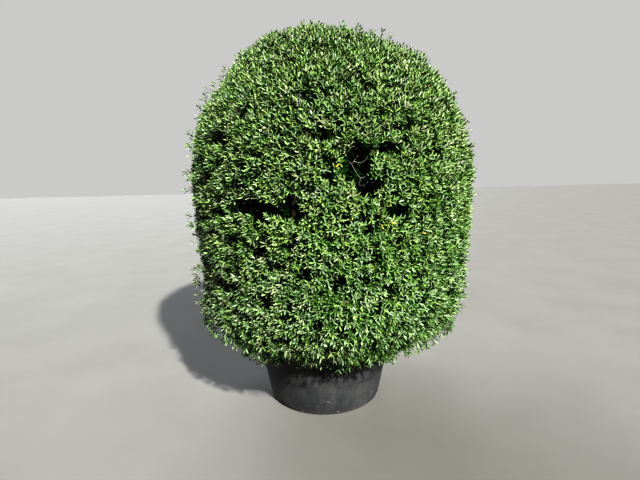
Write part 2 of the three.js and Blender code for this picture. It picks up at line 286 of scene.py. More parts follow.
# Twigs inside the crown: number, sines of their elevations, and insets of their ends; the number
# and insets of those behind each hollow; how far their ends keep from the crown's axis, and the
# steps of a bough, from its root, on which no twig starts
THICKET_TWIGS = 1150
THICKET_SINES = (-0.7, 0.97)
THICKET_INSETS = (160, 560)
HOLLOW_TWIGS = 100
HOLLOW_TWIG_SCATTER = 11
HOLLOW_TWIG_INSETS = (290, 620)
THICKET_CLEAR_RADIUS = 90
LIMB_ROOT_STEPS = 8
THICKET_SAG = 14
THICKET_SCATTER = 22
THICKET_TIP = 60
# Twigs that carry single sprays: place of their bend, sag there and length of their tips
CARRIER_BEND = 0.6
CARRIER_SAG = 20
CARRIER_SCATTER = 12
CARRIER_TIP = 5

# Hollows that show in the leafy shell: azimuth, elevation, half width, half height, depth
HOLLOWS = (
    (-79.8, 18.2, 72, 110, 260),
    (-77.6, 12.4, 62, 60, 230),
    (-121.0, 6.8, 84, 30, 150),
    (-111.0, 6.2, 72, 26, 150),
    (-103.0, 6.1, 48, 45, 170),
    (-67.6, 4.4, 60, 36, 150),
)
# Sprays that stand in each hollow: their number, and the angles round its middle that they keep
# to; and the shares of its depth at which they stand
HOLLOW_SPRAYS = ((7, -110, 35), (4, -180, 180), (18, -180, 180), (24, -150, -20),
                 (12, 90, 270), (8, -180, 180))
HOLLOW_SPRAY_DEPTH = (0.5, 0.85)
HOLLOW_SPRAY_LENGTH = 70
HOLLOW_SPRAY_RISE = 26
HOLLOW_SPRAY_SCATTER = 16
# Where clumps that would stand in a hollow are moved to: 1 is its edge
HOLLOW_CLEARANCE = 1.06

# Smaller dark pockets toward the camera: azimuth, elevation, half width and half height, with
# one depth for them all
POCKETS = (
    (-69.8, 22.8, 66, 20), (-76.4, 21.2, 30, 18), (-132.8, 27.7, 104, 36), (-114.1, -7.7, 52, 36),
    (-90.2, 26.4, 56, 21), (-146.0, 2.4, 70, 24), (-134.7, -21.3, 96, 34),
    (-76.0, -0.3, 40, 28), (-108.8, -12.9, 48, 30), (-133.5, 4.5, 76, 23),
    (-124.4, -6.0, 56, 36), (-119.4, 19.3, 31, 21), (-121.1, 13.0, 45, 25),
    (-113.2, -23.2, 40, 32), (-139.6, 16.2, 70, 31), (-64.3, 28.7, 50, 28),
    (-96.4, 37.3, 31, 29), (-99.3, -14.3, 43, 21), (-95.5, 12.3, 29, 26),
    (-78.1, -16.7, 25, 34), (-121.2, 34.4, 40, 25), (-89.0, 14.0, 26, 19),
    (-89.1, -3.6, 21, 23), (-136.9, -3.6, 61, 22), (-69.8, -20.1, 25, 22),
    (-94.9, -31.2, 19, 27), (-74.8, -10.9, 19, 21), (-85.9, -16.8, 22, 17),
    (-53.5, 8.2, 33, 18), (-113.6, 15.3, 24, 15), (-141.0, 20.8, 52, 15),
    (-130.5, 20.3, 29, 17), (-84.5, -20.5, 19, 17), (-86.0, -31.7, 24, 23),
    (-102.2, 15.3, 16, 15), (-73.3, 8.6, 17, 15), (-106.0, -27.6, 20, 21),
    (-58.3, 2.5, 24, 16), (-88.9, 19.8, 15, 12), (-98.2, 4.0, 22, 15), (-74.8, -38.5, 34, 50),
    (-105.8, 4.0, 62, 15),
)
POCKET_DEPTH = 90
# For every pocket: how much farther shoots keep from its middle, the depth past which a shoot
# in it is left out, how ragged its edge is and in what size, and how far behind it still counts
POCKET_FRINGE = 12
POCKET_BARE_DEPTH = 60
POCKET_RAGGEDNESS = 0.45
POCKET_RAG_SIZE = 55
POCKET_SIGHT = 400
# Pockets at random, large ones beside the part that the photo shows and small ones all round:
# number, sine of the lowest elevation, and ranges of half width, half height and depth
POCKET_HIGHEST = 0.98
LARGE_POCKETS = 220
LARGE_POCKET_TRIES = 880
LARGE_POCKET_FORM = (-0.8, (18, 48), (16, 36), (60, 110))
SMALL_POCKETS = 120
SMALL_POCKET_FORM = (-0.85, (6, 18), (4, 14), (60, 95))
SHOWN_AZIMUTH = -92
SHOWN_HALF_TURN = 55
SHOWN_ELEVATIONS = (-35, 55)

# Leaf colours, each a plain base colour, with the share of the sprays that take it
LEAF_TINTS = {
    "leaf_deep": ((0.054, 0.120, 0.022), 0.12),
    "leaf_mid": ((0.126, 0.217, 0.050), 0.28),
    "leaf_cool": ((0.154, 0.221, 0.118), 0.18),
    "leaf_fresh": ((0.172, 0.255, 0.072), 0.22),
    "leaf_lime": ((0.196, 0.255, 0.110), 0.11),
    "leaf_olive": ((0.180, 0.206, 0.104), 0.05),
    "leaf_pale": ((0.208, 0.248, 0.142), 0.04),
}
ACCENT_TINTS = {
    # Painted shade: near-black leaves deep in the crown and at the inner end of each shoot
    "leaf_shade": (0.005, 0.025, 0.003),
    # Painted shade: dim leaves for the sprays in the hollows
    "leaf_dim": (0.011, 0.041, 0.005),
    "leaf_yellow": (0.600, 0.470, 0.120),
    "leaf_russet": (0.300, 0.175, 0.095),
    "leaf_dry": (0.220, 0.130, 0.070),
}
TINT = {name: number for number, name in enumerate((*LEAF_TINTS, *ACCENT_TINTS))}
# Specular level and roughness of the leaves, and of those in the shade or turned
LEAF_GLOSS = (0.7, 0.56)
ACCENT_GLOSS = (0.1, 0.65)
GLOSS_RANGE = 0.08
# Patches of lighter and darker sprays, in layers; how much darker the crown gets low on the
# right, as painted shade; and how many of its sprays get cooler and paler low down, as painted sky
# light and sheen
TINT_PATCHES = ((0.10, 260, 8), (0.05, 90, 9))
PAINTED_SHADE_RIGHT = 0.30
DARKER_HEIGHTS = (1700, 1000)
DARKER_ACROSS = (-300, 800)
PAINTED_SKY_LIGHT_BELOW = 0.9
COOLER_HEIGHTS = (1350, 900)

# Leaves that have turned, by azimuth, elevation, tint and number on the spray
TURNED_LEAVES = (
    (-69.4, 1.1, "leaf_yellow", 3), (-72.7, -1.2, "leaf_yellow", 2),
    (-57.8, -2.9, "leaf_yellow", 1), (-85.6, -22.2, "leaf_russet", 3),
    (-87.8, 18.7, "leaf_yellow", 2), (-72.8, 20.7, "leaf_russet", 2),
    (-65.5, 19.3, "leaf_yellow", 1), (-72.8, 7.0, "leaf_russet", 2),
    (-90.4, 20.6, "leaf_russet", 1),
)
TURNED_INSET = 4
TURNED_ELSEWHERE = 24

# Barks: dark and light colour, and how fine their pattern is
BARKS = {
    "grey": ((0.050, 0.044, 0.034), (0.140, 0.128, 0.104), 40),
    "shoot": ((0.046, 0.078, 0.020), (0.110, 0.150, 0.048), 60),
    "twig": ((0.026, 0.025, 0.016), (0.068, 0.064, 0.044), 50),
    # Painted shade: darker bark for the twigs inside the crown
    "inner_shade": ((0.020, 0.018, 0.012), (0.050, 0.045, 0.034), 40),
    "pale": ((0.100, 0.097, 0.082), (0.230, 0.222, 0.195), 60),
    # Painted shade: a dark brown for the stem in the seam
    "shaded_brown": ((0.016, 0.012, 0.006), (0.036, 0.027, 0.016), 60),
}

# Bare twigs that show in the largest hollow, as points of azimuth, elevation and inset, with
# radii at both ends, and sides; a brown stem in the seam to its left; and those a bough carries
BARE_TWIGS = (
    ((-81.9, 18.6, 96), (-80.3, 15.2, 88), (-78.9, 14.0, 84), (-79.9, 11.8, 80), (-77.9, 12.1, 72)),
    ((-78.9, 14.0, 84), (-77.8, 14.2, 78), (-77.0, 15.1, 70)),
    ((-81.5, 18.2, 108), (-80.2, 20.2, 104), (-77.8, 22.3, 98)),
    ((-80.2, 20.2, 104), (-79.6, 21.4, 100), (-80.0, 23.0, 94)),
    ((-80.9, 19.2, 106), (-78.4, 18.6, 98), (-76.6, 19.8, 92), (-75.8, 21.6, 84)),
)
BARE_TWIG_FORM = ((2.4, 1.2), 5)
BROWN_STEM = ((-101.0, -6.0, 140), (-102.4, 1.8, 100), (-102.2, 6.5, 92), (-102.0, 11.5, 112))
BROWN_STEM_FORM = ((14, 12), 8)
GROWN_FROM_BOUGH = (0, 2, len(BARE_TWIGS))
BARE_TWIG_STEPS = 4
BARE_TWIG_SAG = 18
BARE_TWIG_KINK = 1.5
BARE_TWIG_TIP = 6

# Sprays that hang over the tub's rim where the photo shows them: azimuth, radius and height of
# their tips; more of them all round: number, radii and droop, height at one radius and slope
# outward from there; and how far up and out the feet of all of them are
RIM_SPRAYS = (
    (-133.0, 700, 465), (-128.4, 690, 450), (-125.6, 680, 448), (-122.8, 650, 444),
    (-128.3, 720, 512), (-125.1, 700, 490), (-122.5, 680, 480), (-119.2, 640, 462),
    (-113.8, 640, 490), (-131.7, 740, 520), (-119.3, 590, 446), (-111.5, 590, 470),
    (-107.1, 600, 452), (-101.2, 600, 452), (-96.0, 600, 470), (-91.7, 600, 458),
    (-81.7, 565, 386), (-77.1, 565, 381), (-72.8, 590, 452), (-66.8, 570, 407),
    (-61.9, 575, 405), (-46.8, 590, 414), (-41.9, 610, 388), (-34.8, 650, 449),
    (-31.3, 690, 463), (-13.1, 708, 430),
)
MORE_RIM_SPRAYS = 220
MORE_RIM_RADII = (580, 720)
MORE_RIM_DROOP = (-60, 14)
RIM_HEIGHT = 430
RIM_HEIGHT_RADIUS = 560
RIM_SLOPE = 0.37
RIM_SPRAY_RISE = 130
RIM_SPRAY_SCATTER = 14
RIM_SPRAY_LEAN = (4, 22)
# Sprays that hang from the crown's lower edge into the light, all round
EDGE_SPRAYS = 144
EDGE_TURN_SCATTER = 1
EDGE_ELEVATIONS = (-43, -37)
EDGE_INSET = -10
# How much a difference in elevation counts when a single spray takes its mass
OWNER_RISE_WEIGHT = 1.6

# Camera: place, axes and focal length in pixels of the 640-pixel-wide frame
CAMERA_PLACE = (0.0, -3.120, 1.620)
CAMERA_FORWARD = (-0.00433, 0.98862, -0.15040)
CAMERA_RIGHT = (0.99971, 0.00073, -0.02398)
FRAME_WIDTH = 640
FOCAL_PIXELS = 431
SENSOR_WIDTH = 36

# Lamps: direction toward each, strength, angle of its disc and colour; colour and strength of
# the sky's light, and of the backdrop that only the camera sees; and the floor
LAMPS = {
    "key": ((0.385, -0.723, 0.574), 8.6, 2, (0.97, 0.97, 0.93)),
    "back_fill": ((-0.48, 0.76, 0.44), 5.0, 80, (0.9, 0.95, 1.0)),
}
SKY = ((0.86, 0.93, 1.0), 0.05)
BACKDROP = ((0.40, 0.40, 0.395), 1)
FLOOR_HALF_WIDTH = 40000
FLOOR_COLOURS = ((0.148, 0.144, 0.136), (0.142, 0.138, 0.130), (0.155, 0.151, 0.143))


# Vectors and curves

def unit(vectors):
    return vectors / np.linalg.norm(vectors, axis=-1, keepdims=True)


def dot(one, other):
    return np.sum(one * other, axis=-1, keepdims=True)


def spread(shape, amount):
    return rng.uniform(-amount, amount, shape)


def any_turn(shape):
    return rng.uniform(0, 2 * math.pi, shape)


def round_angles(sides):
    return np.arange(sides) / sides * 2 * math.pi


def polar(radius, angle, height):
    """Points at a distance and an angle round the upright axis"""
    across, forward = radius * np.cos(angle), radius * np.sin(angle)
    return np.stack(np.broadcast_arrays(across, forward, height), axis=-1)


def bearing(azimuth, elevation):
    """Direction of length 1"""
    azimuth, elevation = np.radians(azimuth), np.radians(elevation)
    return polar(np.cos(elevation), azimuth, np.sin(elevation))


def around(one, other, angle, reach=1, other_reach=None):
    """Arms at an angle in the plane of two axes, with their reach along each"""
    other_reach = reach if other_reach is None else other_reach
    return (one * (reach * np.cos(angle))[..., None]
            + other * (other_reach * np.sin(angle))[..., None])


def nearest(points, places):
    """For each point, the number of the place nearest to it"""
    return np.argmin(np.linalg.norm(points[:, None] - places[None], axis=-1), axis=1)


def random_bearings(count, lowest, highest):
    """Azimuths and elevations spread evenly between two sines of elevation"""
    turn = rng.uniform(-180, 180, count)
    return turn, np.degrees(np.arcsin(rng.uniform(lowest, highest, count)))


def ramp(value, start, end):
    """From 0 at the start to 1 at the end"""
    return np.clip((value - start) / (end - start), 0, 1)


def on_curve(curve, places):
    """Values between a curve's points, each a place and its value"""
    at, values = np.array(curve, float).T
    return np.interp(places, at, values)


def lump(points, size, seed):
    """Smooth noise from -1 to 1 at each point, in lumps of about this size"""
    shift = Vector((seed * 7.3, seed * 3.1, seed * 5.7))
    values = [noise.noise(Vector(point) / size + shift) for point in points.reshape(-1, 3)]
    return np.array(values).reshape(points.shape[:-1])


def lumps(points, layers):
    """Smooth noise in layers, each of a height, a size and a seed"""
    return sum(height * lump(points, size, seed) for height, size, seed in layers)


def bezier(corners, steps):
    share = np.linspace(0, 1, steps)[:, None]
    left = 1 - share
    one, two, three, four = corners
    return left**3 * one + 3 * left**2 * share * two + 3 * left * share**2 * three + share**3 * four


# Crown outline

def crown_fill(radius, height):
    """How far out a point of the crown's section is: 1 on its outline"""
    rise = np.clip((height - DOME_SPRING) / DOME_HEIGHT, 0, None)
    drop = np.clip((UNDERSIDE_TOP - height) / UNDERSIDE_DEPTH, 0, None)
    share = (height - UNDERSIDE_TOP) / (DOME_SPRING - UNDERSIDE_TOP)
    dome = (radius / DOME_RADIUS) ** DOME_ROUNDNESS + rise ** DOME_ROUNDNESS
    under = (radius / BELLY_RADIUS) ** UNDERSIDE_ROUNDNESS + drop ** UNDERSIDE_ROUNDNESS
    wall = radius / (BELLY_RADIUS + (DOME_RADIUS - BELLY_RADIUS) * share)
    return np.where(height > DOME_SPRING, dome, np.where(height < UNDERSIDE_TOP, under, wall))


def outline_reach(elevations):
    """Distance from the crown's centre to its outline, found by halving"""
    near = np.zeros(len(elevations))
    far = np.full(len(elevations), 2.0 * DOME_RADIUS)
    flat, _, rise = bearing(0, elevations).T
    for _ in range(30):
        middle = (near + far) / 2
        inside = crown_fill(middle * flat, CROWN_CENTRE_HEIGHT + middle * rise) < 1
        near, far = np.where(inside, middle, near), np.where(inside, far, middle)
    return near


TABLE_ELEVATION = np.linspace(-90, 90, 1441)
TABLE_REACH = outline_reach(TABLE_ELEVATION)
TABLE_FLAT, _, TABLE_RISE = bearing(0, TABLE_ELEVATION).T * TABLE_REACH
TABLE_STEPS = np.hypot(np.diff(TABLE_FLAT), np.diff(TABLE_RISE))
TABLE_LENGTH = np.concatenate([[0], np.cumsum(TABLE_STEPS)])
TABLE_FACING = np.degrees(np.arctan2(-np.gradient(TABLE_FLAT), np.gradient(TABLE_RISE)))
CROWN_CENTRE = np.array([CROWN_OFFSET, 0, CROWN_CENTRE_HEIGHT], float)


def crown_reach(azimuth, elevation):
    swell = SIDE_SWELL * bearing(azimuth, elevation)[..., 0]
    return np.interp(elevation, TABLE_ELEVATION, TABLE_REACH) + swell


def facing(azimuth, elevation):
    """Outward normal of the crown's outline"""
    return bearing(azimuth, np.interp(elevation, TABLE_ELEVATION, TABLE_FACING))


def crown_point(azimuth, elevation, inset=0):
    """A point under the outline, by this much along the normal there"""
    azimuth, elevation = np.asarray(azimuth, float), np.asarray(elevation, float)
    surface = CROWN_CENTRE + bearing(azimuth, elevation) * crown_reach(azimuth, elevation)[..., None]
    return surface - facing(azimuth, elevation) * np.asarray(inset, float)[..., None]


def surface_axes(azimuth, elevation):
    """Normal, level side and rising side of the outline"""
    normal, level = facing(azimuth, elevation), bearing(azimuth + 90, 0)
    return normal, level, np.cross(normal, level)


def crown_place(azimuth, elevation):
    """One point of the outline, with its normal, level side and rising side"""
    place = np.array([azimuth]), np.array([elevation])
    return crown_point(*place)[0], *(axis[0] for axis in surface_axes(*place))


# Meshes

def in_scene(name, data):
    made = bpy.data.objects.new(name, data)
    bpy.context.scene.collection.objects.link(made)
    return made


class Assembly:
    """Points and faces of one piece, gathered part by part"""

    def __init__(self):
        self.points, self.count = [], 0
        self.faces = {3: [], 4: []}
        self.tints = {3: [], 4: []}

    def add(self, points, faces, tint=0):
        """Points (n, 3) and faces that count from their first, with a material index"""
        points = np.asarray(points, float).reshape(-1, 3)
        self.points.append(points)
        for block in faces:
            block = np.asarray(block, np.int64)
            self.faces[block.shape[1]].append(block + self.count)
            self.tints[block.shape[1]].append(np.broadcast_to(tint, len(block)))
        self.count += len(points)

    def piece(self, name, materials, smooth=False):
        """The finished object, in the scene"""
        points = np.concatenate(self.points) * METRE
        loops, sizes, tints = [], [], []
        for size in (4, 3):
            if self.faces[size]:
                block = np.concatenate(self.faces[size])
                loops.append(block.ravel())
                sizes.append(np.full(len(block), size))
                tints.append(np.concatenate(self.tints[size]))
        loops, sizes, tints = (np.concatenate(part) for part in (loops, sizes, tints))
        mesh = bpy.data.meshes.new(name)
        mesh.vertices.add(len(points))
        mesh.vertices.foreach_set("co", points.astype(np.float32).ravel())
        mesh.loops.add(len(loops))
        mesh.loops.foreach_set("vertex_index", loops.astype(np.int32))
        mesh.polygons.add(len(sizes))
        for key, values in (("loop_start", np.cumsum(sizes) - sizes), ("loop_total", sizes),
                            ("material_index", tints)):
            mesh.polygons.foreach_set(key, values.astype(np.int32))
        mesh.polygons.foreach_set("use_smooth", np.full(len(sizes), smooth))
        for material in materials:
            mesh.materials.append(material)
        mesh.update(calc_edges=True)
        return in_scene(name, mesh)


def rings(paths, radii, sides):
    """Rings of points round many paths: (n, k, 3) and (n, k) to (n, k, sides, 3)"""
    along = unit(np.gradient(paths, axis=1))
    helper = np.where(np.abs(along[:, 0, 2:]) > 0.9, [1.0, 0, 0], [0, 0, 1.0])
    across = unit(np.cross(along[:, 0], helper))
    angles = round_angles(sides)
    made = np.empty((*paths.shape[:2], sides, 3))
    for ring in range(paths.shape[1]):
        heading = along[:, ring]
        across = unit(across - heading * dot(across, heading))
        rim = around(across[:, None], np.cross(heading, across)[:, None], angles)
        made[:, ring] = paths[:, ring, None] + rim * radii[:, ring, None, None]
    return made


def ring_faces(count, steps, sides):
    """Quads between the rings of each of count tubes, points numbered tube by tube"""
    tube, step, side = np.meshgrid(
        np.arange(count), np.arange(steps - 1), np.arange(sides), indexing="ij")
    base = (tube * steps + step) * sides
    after = (side + 1) % sides
    return np.stack([base + side, base + after, base + sides + after, base + sides + side],
                    axis=-1).reshape(-1, 4)


def add_tubes(assembly, paths, radii, sides, tips, tint=0):
    """Tubes along paths, each closed to a point at its tip"""
    count, steps = paths.shape[:2]
    body = rings(paths, np.broadcast_to(radii, (count, steps)), sides).reshape(-1, 3)
    last = (np.arange(count) * steps + steps - 1)[:, None] * sides
    side = np.arange(sides)[None]
    apex = np.broadcast_to(count * steps * sides + np.arange(count)[:, None], (count, sides))
    fans = np.stack([last + side, last + (side + 1) % sides, apex], axis=-1).reshape(-1, 3)
    points = np.concatenate([body, tips])
    assembly.add(points, [ring_faces(count, steps, sides), fans], tint)


def add_closed(assembly, tube, start, end, inside_out=False):
    """One tube of rings (k, sides, 3), closed to a point at both ends"""
    steps, sides = tube.shape[:2]
    side = np.arange(sides)
    after = (side + 1) % sides
    last = (steps - 1) * sides
    apex = np.full(sides, steps * sides)
    faces = [ring_faces(1, steps, sides), np.stack([after, side, apex], axis=-1),
             np.stack([last + side, last + after, apex + 1], axis=-1)]
    if inside_out:
        faces = [block[:, ::-1] for block in faces]
    assembly.add(np.concatenate([tube.reshape(-1, 3), [start, end]]), faces)


def add_cones(assembly, feet, tips, radius, tint=0):
    """Slender three-sided shoots, each from a foot to a pointed tip"""
    heading = unit(tips - feet)
    across = unit(np.cross(heading, UP + 0.01))
    arms = around(across[:, None], np.cross(heading, across)[:, None], round_angles(3), radius)
    first = np.arange(len(feet))[:, None] * 4
    faces = np.concatenate([first + [0, 1, 3], first + [1, 2, 3], first + [2, 0, 3]])
    assembly.add(np.concatenate([feet[:, None] + arms, tips[:, None]], axis=1), [faces], tint)


def add_leaves(assembly, feet, directions, faces, lengths, widths, fold, tints):
    """Leaves, each of two halves that are folded up or down from the midrib"""
    side = unit(np.cross(directions, faces))
    face = np.cross(side, directions)
    points = []
    for along, across in LEAF_CORNERS:
        lift = fold * abs(across) * widths
        points.append(feet + directions * (along * lengths)[:, None]
                      + side * (across * widths)[:, None] + face * lift[:, None])
    first = np.arange(len(feet))[:, None] * len(LEAF_CORNERS)
    halves = np.concatenate([first + half for half in LEAF_HALVES])
    assembly.add(np.stack(points, axis=1), [halves], np.tile(tints, len(LEAF_HALVES)))


def mark_sharp(piece, angle):
    """Sharp shading over edges that turn by more than this angle"""
    bpy.context.view_layer.objects.active = piece
    piece.select_set(True)
    bpy.ops.object.shade_smooth_by_angle(angle=math.radians(angle))
    piece.select_set(False)


def settle(piece, slot, *nodes):
    """Rides the piece on the part's body and hides the nodes it stands for; the slot is not used"""
    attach(piece, "root")
    if nodes:
        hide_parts(*nodes)


# Material nodes

class Nodes:
    """One material, with short calls for building its node tree"""

    def __init__(self, name, colour, roughness, specular):
        self.material = bpy.data.materials.new(name)
        self.material.use_nodes = True
        self.material.diffuse_color = (*colour, 1)
        self.tree = self.material.node_tree
        self.sockets = self.tree.nodes["Principled BSDF"].inputs
        for socket, value in (("Base Color", colour), ("Roughness", roughness),
                              ("Specular IOR Level", specular), ("IOR", 1.5)):
            self.feed(socket, value)
        self.place = self.node("TexCoord", "Object")

    def put(self, socket, value):
        """Sets a socket to a number, or to a vector or colour, or links it to an output"""
        if isinstance(value, (int, float)):
            socket.default_value = value
        elif isinstance(value, tuple):
            socket.default_value = (*value, 1)[:len(socket.default_value)]
        else:
            self.tree.links.new(value, socket)

    def feed(self, name, value):
        """Puts a value into the shader's socket of this name"""
        self.put(self.sockets[name], value)

    def node(self, kind, output, **inputs):
        """A new node's output, with its inputs by name"""
        made = self.tree.nodes.new("ShaderNode" + kind)
        for name, value in inputs.items():
            self.put(made.inputs[name.replace("_", " ")], value)
        return made.outputs[output]

    def scaled(self, scale, shift=(0, 0, 0)):
        return self.node("Mapping", "Vector", Scale=scale, Location=shift, Vector=self.place)

    def noise(self, scale, detail=4, place=None, roughness=0.55):
        return self.node("TexNoise", "Fac", Scale=scale, Detail=detail, Roughness=roughness,
                         Vector=place or self.place)

    def cells(self, scale, place):
        return self.node("TexVoronoi", "Distance", Scale=scale, Vector=place)

    def height(self):
        return self.node("SeparateXYZ", "Z", Vector=self.place)

    def span(self, value, low, high, out_low=0.0, out_high=1.0):
        """The value's place between low and high, on a scale of its own and clamped to it"""
        return self.node("MapRange", "Result", Value=value, From_Min=low, From_Max=high,
                         To_Min=out_low, To_Max=out_high)

    def maths(self, operation, one, other):
        made = self.tree.nodes.new("ShaderNodeMath")
        made.operation = operation
        self.put(made.inputs[0], one)
        self.put(made.inputs[1], other)
        return made.outputs["Value"]

    def times(self, one, other):
        return self.maths("MULTIPLY", one, other)

    def plus(self, one, other):
        return self.maths("ADD", one, other)

    def mix(self, share, one, other):
        made = self.tree.nodes.new("ShaderNodeMix")
        made.data_type = "RGBA"
        for socket, value in ((0, share), (6, one), (7, other)):
            self.put(made.inputs[socket], value)
        return made.outputs[2]

    def layer(self, colour, mask, share, over):
        """Another colour over the first, by a mask times a share"""
        return self.mix(self.times(mask, share), colour, over)

    def bump(self, value, strength, distance):
        self.feed("Normal", self.node("Bump", "Normal", Strength=strength, Distance=distance,
                                      Height=value))


# Materials

def leaf_material(name, colour, specular, roughness):
    """Leaf: plain colour, with gloss that varies over the blade"""
    nodes = Nodes(name, colour, roughness, specular)
    gloss = (roughness - GLOSS_RANGE, roughness + GLOSS_RANGE)
    nodes.feed("Roughness", nodes.span(nodes.noise(90, 1), 0.3, 0.7, *gloss))
    return nodes.material


def leaf_materials():
    """All leaf materials, in the order of TINT"""
    plain = [leaf_material(name, colour, *LEAF_GLOSS) for name, (colour, _) in LEAF_TINTS.items()]
    return plain + [leaf_material(*item, *ACCENT_GLOSS) for item in ACCENT_TINTS.items()]


def bark_material(name, dark, light, fineness):
    """Bark: mottled, finely ridged along the limb, with pale pores"""
    nodes = Nodes(f"{name}_bark", light, 0.85, 0.3)
    patches = nodes.span(nodes.noise(fineness / 4, 5), 0.35, 0.68)
    pores = nodes.span(nodes.cells(fineness * 3, nodes.scaled((1, 1, 2.2))), 0.12, 0.2, 1, 0)
    ridges = nodes.noise(fineness * 1.6, 6, nodes.scaled((1, 1, 0.22)), 0.7)
    colour = nodes.mix(patches, dark, light)
    pale = tuple(min(1, channel * 1.6) for channel in light)
    nodes.feed("Base Color", nodes.layer(colour, pores, 0.35, pale))
    nodes.bump(nodes.plus(ridges, nodes.times(pores, 0.3)), 0.7, 0.004)
    return nodes.material


def tub_material():
    """Charcoal plastic: dusty patches, partly painted light; wiped streaks; painted shade under the
    mould steps; a dirty foot and pale scuffs
    """
    colours = TUB_COLOURS
    nodes = Nodes("tub_plastic", colours["plain"], 0.6, 0.4)
    height = nodes.height()
    low = nodes.span(height, 0.0, 0.42, 1, 0)
    # Dust patches, shifted so the lighter ones fall on the sunlit right side: painted light on real
    # dust
    cloudy = nodes.scaled((1, 1, 1), TUB_DUST_LIGHT_SHIFT)
    patches = nodes.span(nodes.noise(5.5, 6, cloudy, 0.62), 0.4, 0.72)
    streaks = nodes.span(nodes.noise(34, 4, nodes.scaled((1, 1, 0.09))), 0.42, 0.75)
    dust_and_light = nodes.times(patches, nodes.plus(nodes.times(low, 0.25), 0.30))
    dust_and_light = nodes.plus(dust_and_light, nodes.times(streaks, 0.2))
    colour = nodes.mix(dust_and_light, colours["clean"], colours["dust_and_light"])
    specks = nodes.span(nodes.noise(150, 3), 0.38, 0.62)
    colour = nodes.layer(colour, specks, 0.5, colours["specks"])
    # Painted shade under each mould step
    for band in TUB_BAND_HEIGHTS:
        colour = paint_step_shade(nodes, colour, height, band * METRE)
    soiled = nodes.span(height, 0.004, 0.03, 0.5, 0)
    crumbs = nodes.span(nodes.noise(60, 5), 0.4, 0.7)
    colour = nodes.layer(colour, soiled, crumbs, colours["dirt"])
    scratches = nodes.span(nodes.noise(1, 3, nodes.scaled((150, 150, 16)), 0.6), 0.66, 0.72)
    colour = nodes.layer(colour, scratches, 0.4, colours["scratches"])
    scuffs = nodes.span(nodes.noise(2.2, 5, nodes.scaled((9, 9, 46)), 0.7), 0.62, 0.67)
    near_foot = nodes.span(height, 0.02, 0.13, 1, 0.05)
    colour = nodes.layer(colour, scuffs, near_foot, colours["scuffs"])
    nodes.feed("Base Color", colour)
    nodes.feed("Roughness", nodes.span(patches, 0, 1, 0.5, 0.72))
    nodes.bump(nodes.plus(nodes.noise(420, 2), nodes.times(streaks, 0.5)), 0.25, 0.0012)
    return nodes.material


def paint_step_shade(nodes, colour, height, edge):
    """Blotchy painted shade under a mould step, darkest just below its edge"""
    under = nodes.span(height, edge - 0.035, edge, 0, 1)
    below = nodes.span(height, edge, edge + 0.002, 1, 0)
    blotches = nodes.span(nodes.noise(14, 4, nodes.scaled((1, 1, 3))), 0.4, 0.6)
    painted_step_shade = nodes.times(nodes.times(under, below), blotches)
    return nodes.layer(colour, painted_step_shade, 0.6, TUB_COLOURS["painted_step_shade"])


def soil_material():
    """Potting soil: crumbly, dark and damp in patches"""
    colours = SOIL_COLOURS
    nodes = Nodes("potting_soil", colours["plain"], 0.95, 0.2)
    crumbs = nodes.noise(70, 6, None, 0.7)
    damp = nodes.span(nodes.noise(7, 3), 0.4, 0.65)
    colour = nodes.mix(nodes.span(crumbs, 0.35, 0.7), colours["dark"], colours["light"])
    nodes.feed("Base Color", nodes.layer(colour, damp, 0.6, colours["damp"]))
    nodes.bump(crumbs, 0.9, 0.006)
    return nodes.material


def floor_material():
    """Plain pale ground, slightly mottled"""
    plain, darker, lighter = FLOOR_COLOURS
    nodes = Nodes("pale_floor", plain, 0.9, 0.2)
    mottle = nodes.span(nodes.noise(1.3, 4), 0.3, 0.7)
    nodes.feed("Base Color", nodes.mix(mottle, darker, lighter))
    return nodes.material


# Tub and soil

def wall_at(height):
    return TUB_FOOT_RADIUS + TUB_WALL_SLOPE * height


def arc_points(centre, radius, start, end, steps):
    angles = np.radians(np.linspace(start, end, steps))
    return [(centre[0] + radius * math.cos(a), centre[1] + radius * math.sin(a)) for a in angles]


def wall_points(offset, start, end, steps):
    """Points along the wall's slope, moved out by an offset"""
    return [(wall_at(z) + offset, z) for z in np.linspace(start, end, steps)]


def tub_profile():
    """Radii and heights from the middle of the underside over the rim to the middle of the floor"""
    points = [(0, 0), (TUB_FLOOR_RING, 0)]
    foot = (wall_at(0) - TUB_FOOT_ROUND, TUB_FOOT_ROUND)
    points += arc_points(foot, TUB_FOOT_ROUND, -90, -10, 7)
    step_out = 0
    for height in TUB_BAND_HEIGHTS:
        points += wall_points(step_out, points[-1][1] + TUB_BAND_GAP, height, 6)
        step_out += TUB_BAND_STEP
        points.append((wall_at(height) + step_out, height + TUB_BAND_STEP))
    rim_foot = TUB_HEIGHT - TUB_RIM_DEPTH
    points += wall_points(step_out, TUB_UPPER_WALL_START, rim_foot, 6)
    outer = wall_at(TUB_HEIGHT) + TUB_RIM_OVERHANG
    lower = (outer - TUB_RIM_ROUND, rim_foot + TUB_RIM_ROUND)
    upper = (outer - TUB_RIM_ROUND, TUB_HEIGHT - TUB_RIM_ROUND)
    points += arc_points(lower, TUB_RIM_ROUND, -90, 0, 5)
    points += arc_points(upper, TUB_RIM_ROUND, 0, 90, 6)
    inner = wall_at(TUB_HEIGHT) - TUB_WALL
    points += [(inner + TUB_LIP_ROUND, TUB_HEIGHT), (inner, TUB_HEIGHT - TUB_LIP_ROUND)]
    points += wall_points(-TUB_WALL, TUB_INSIDE_START, TUB_FLOOR, 8)
    points += [(TUB_FLOOR_RING, TUB_FLOOR), (0, TUB_FLOOR)]
    return np.array(points)


def turned(profile, sides):
    """Points (k, sides, 3) of a profile of radius and height turned round the upright axis"""
    return polar(profile[:, 0, None], round_angles(sides), profile[:, 1, None])


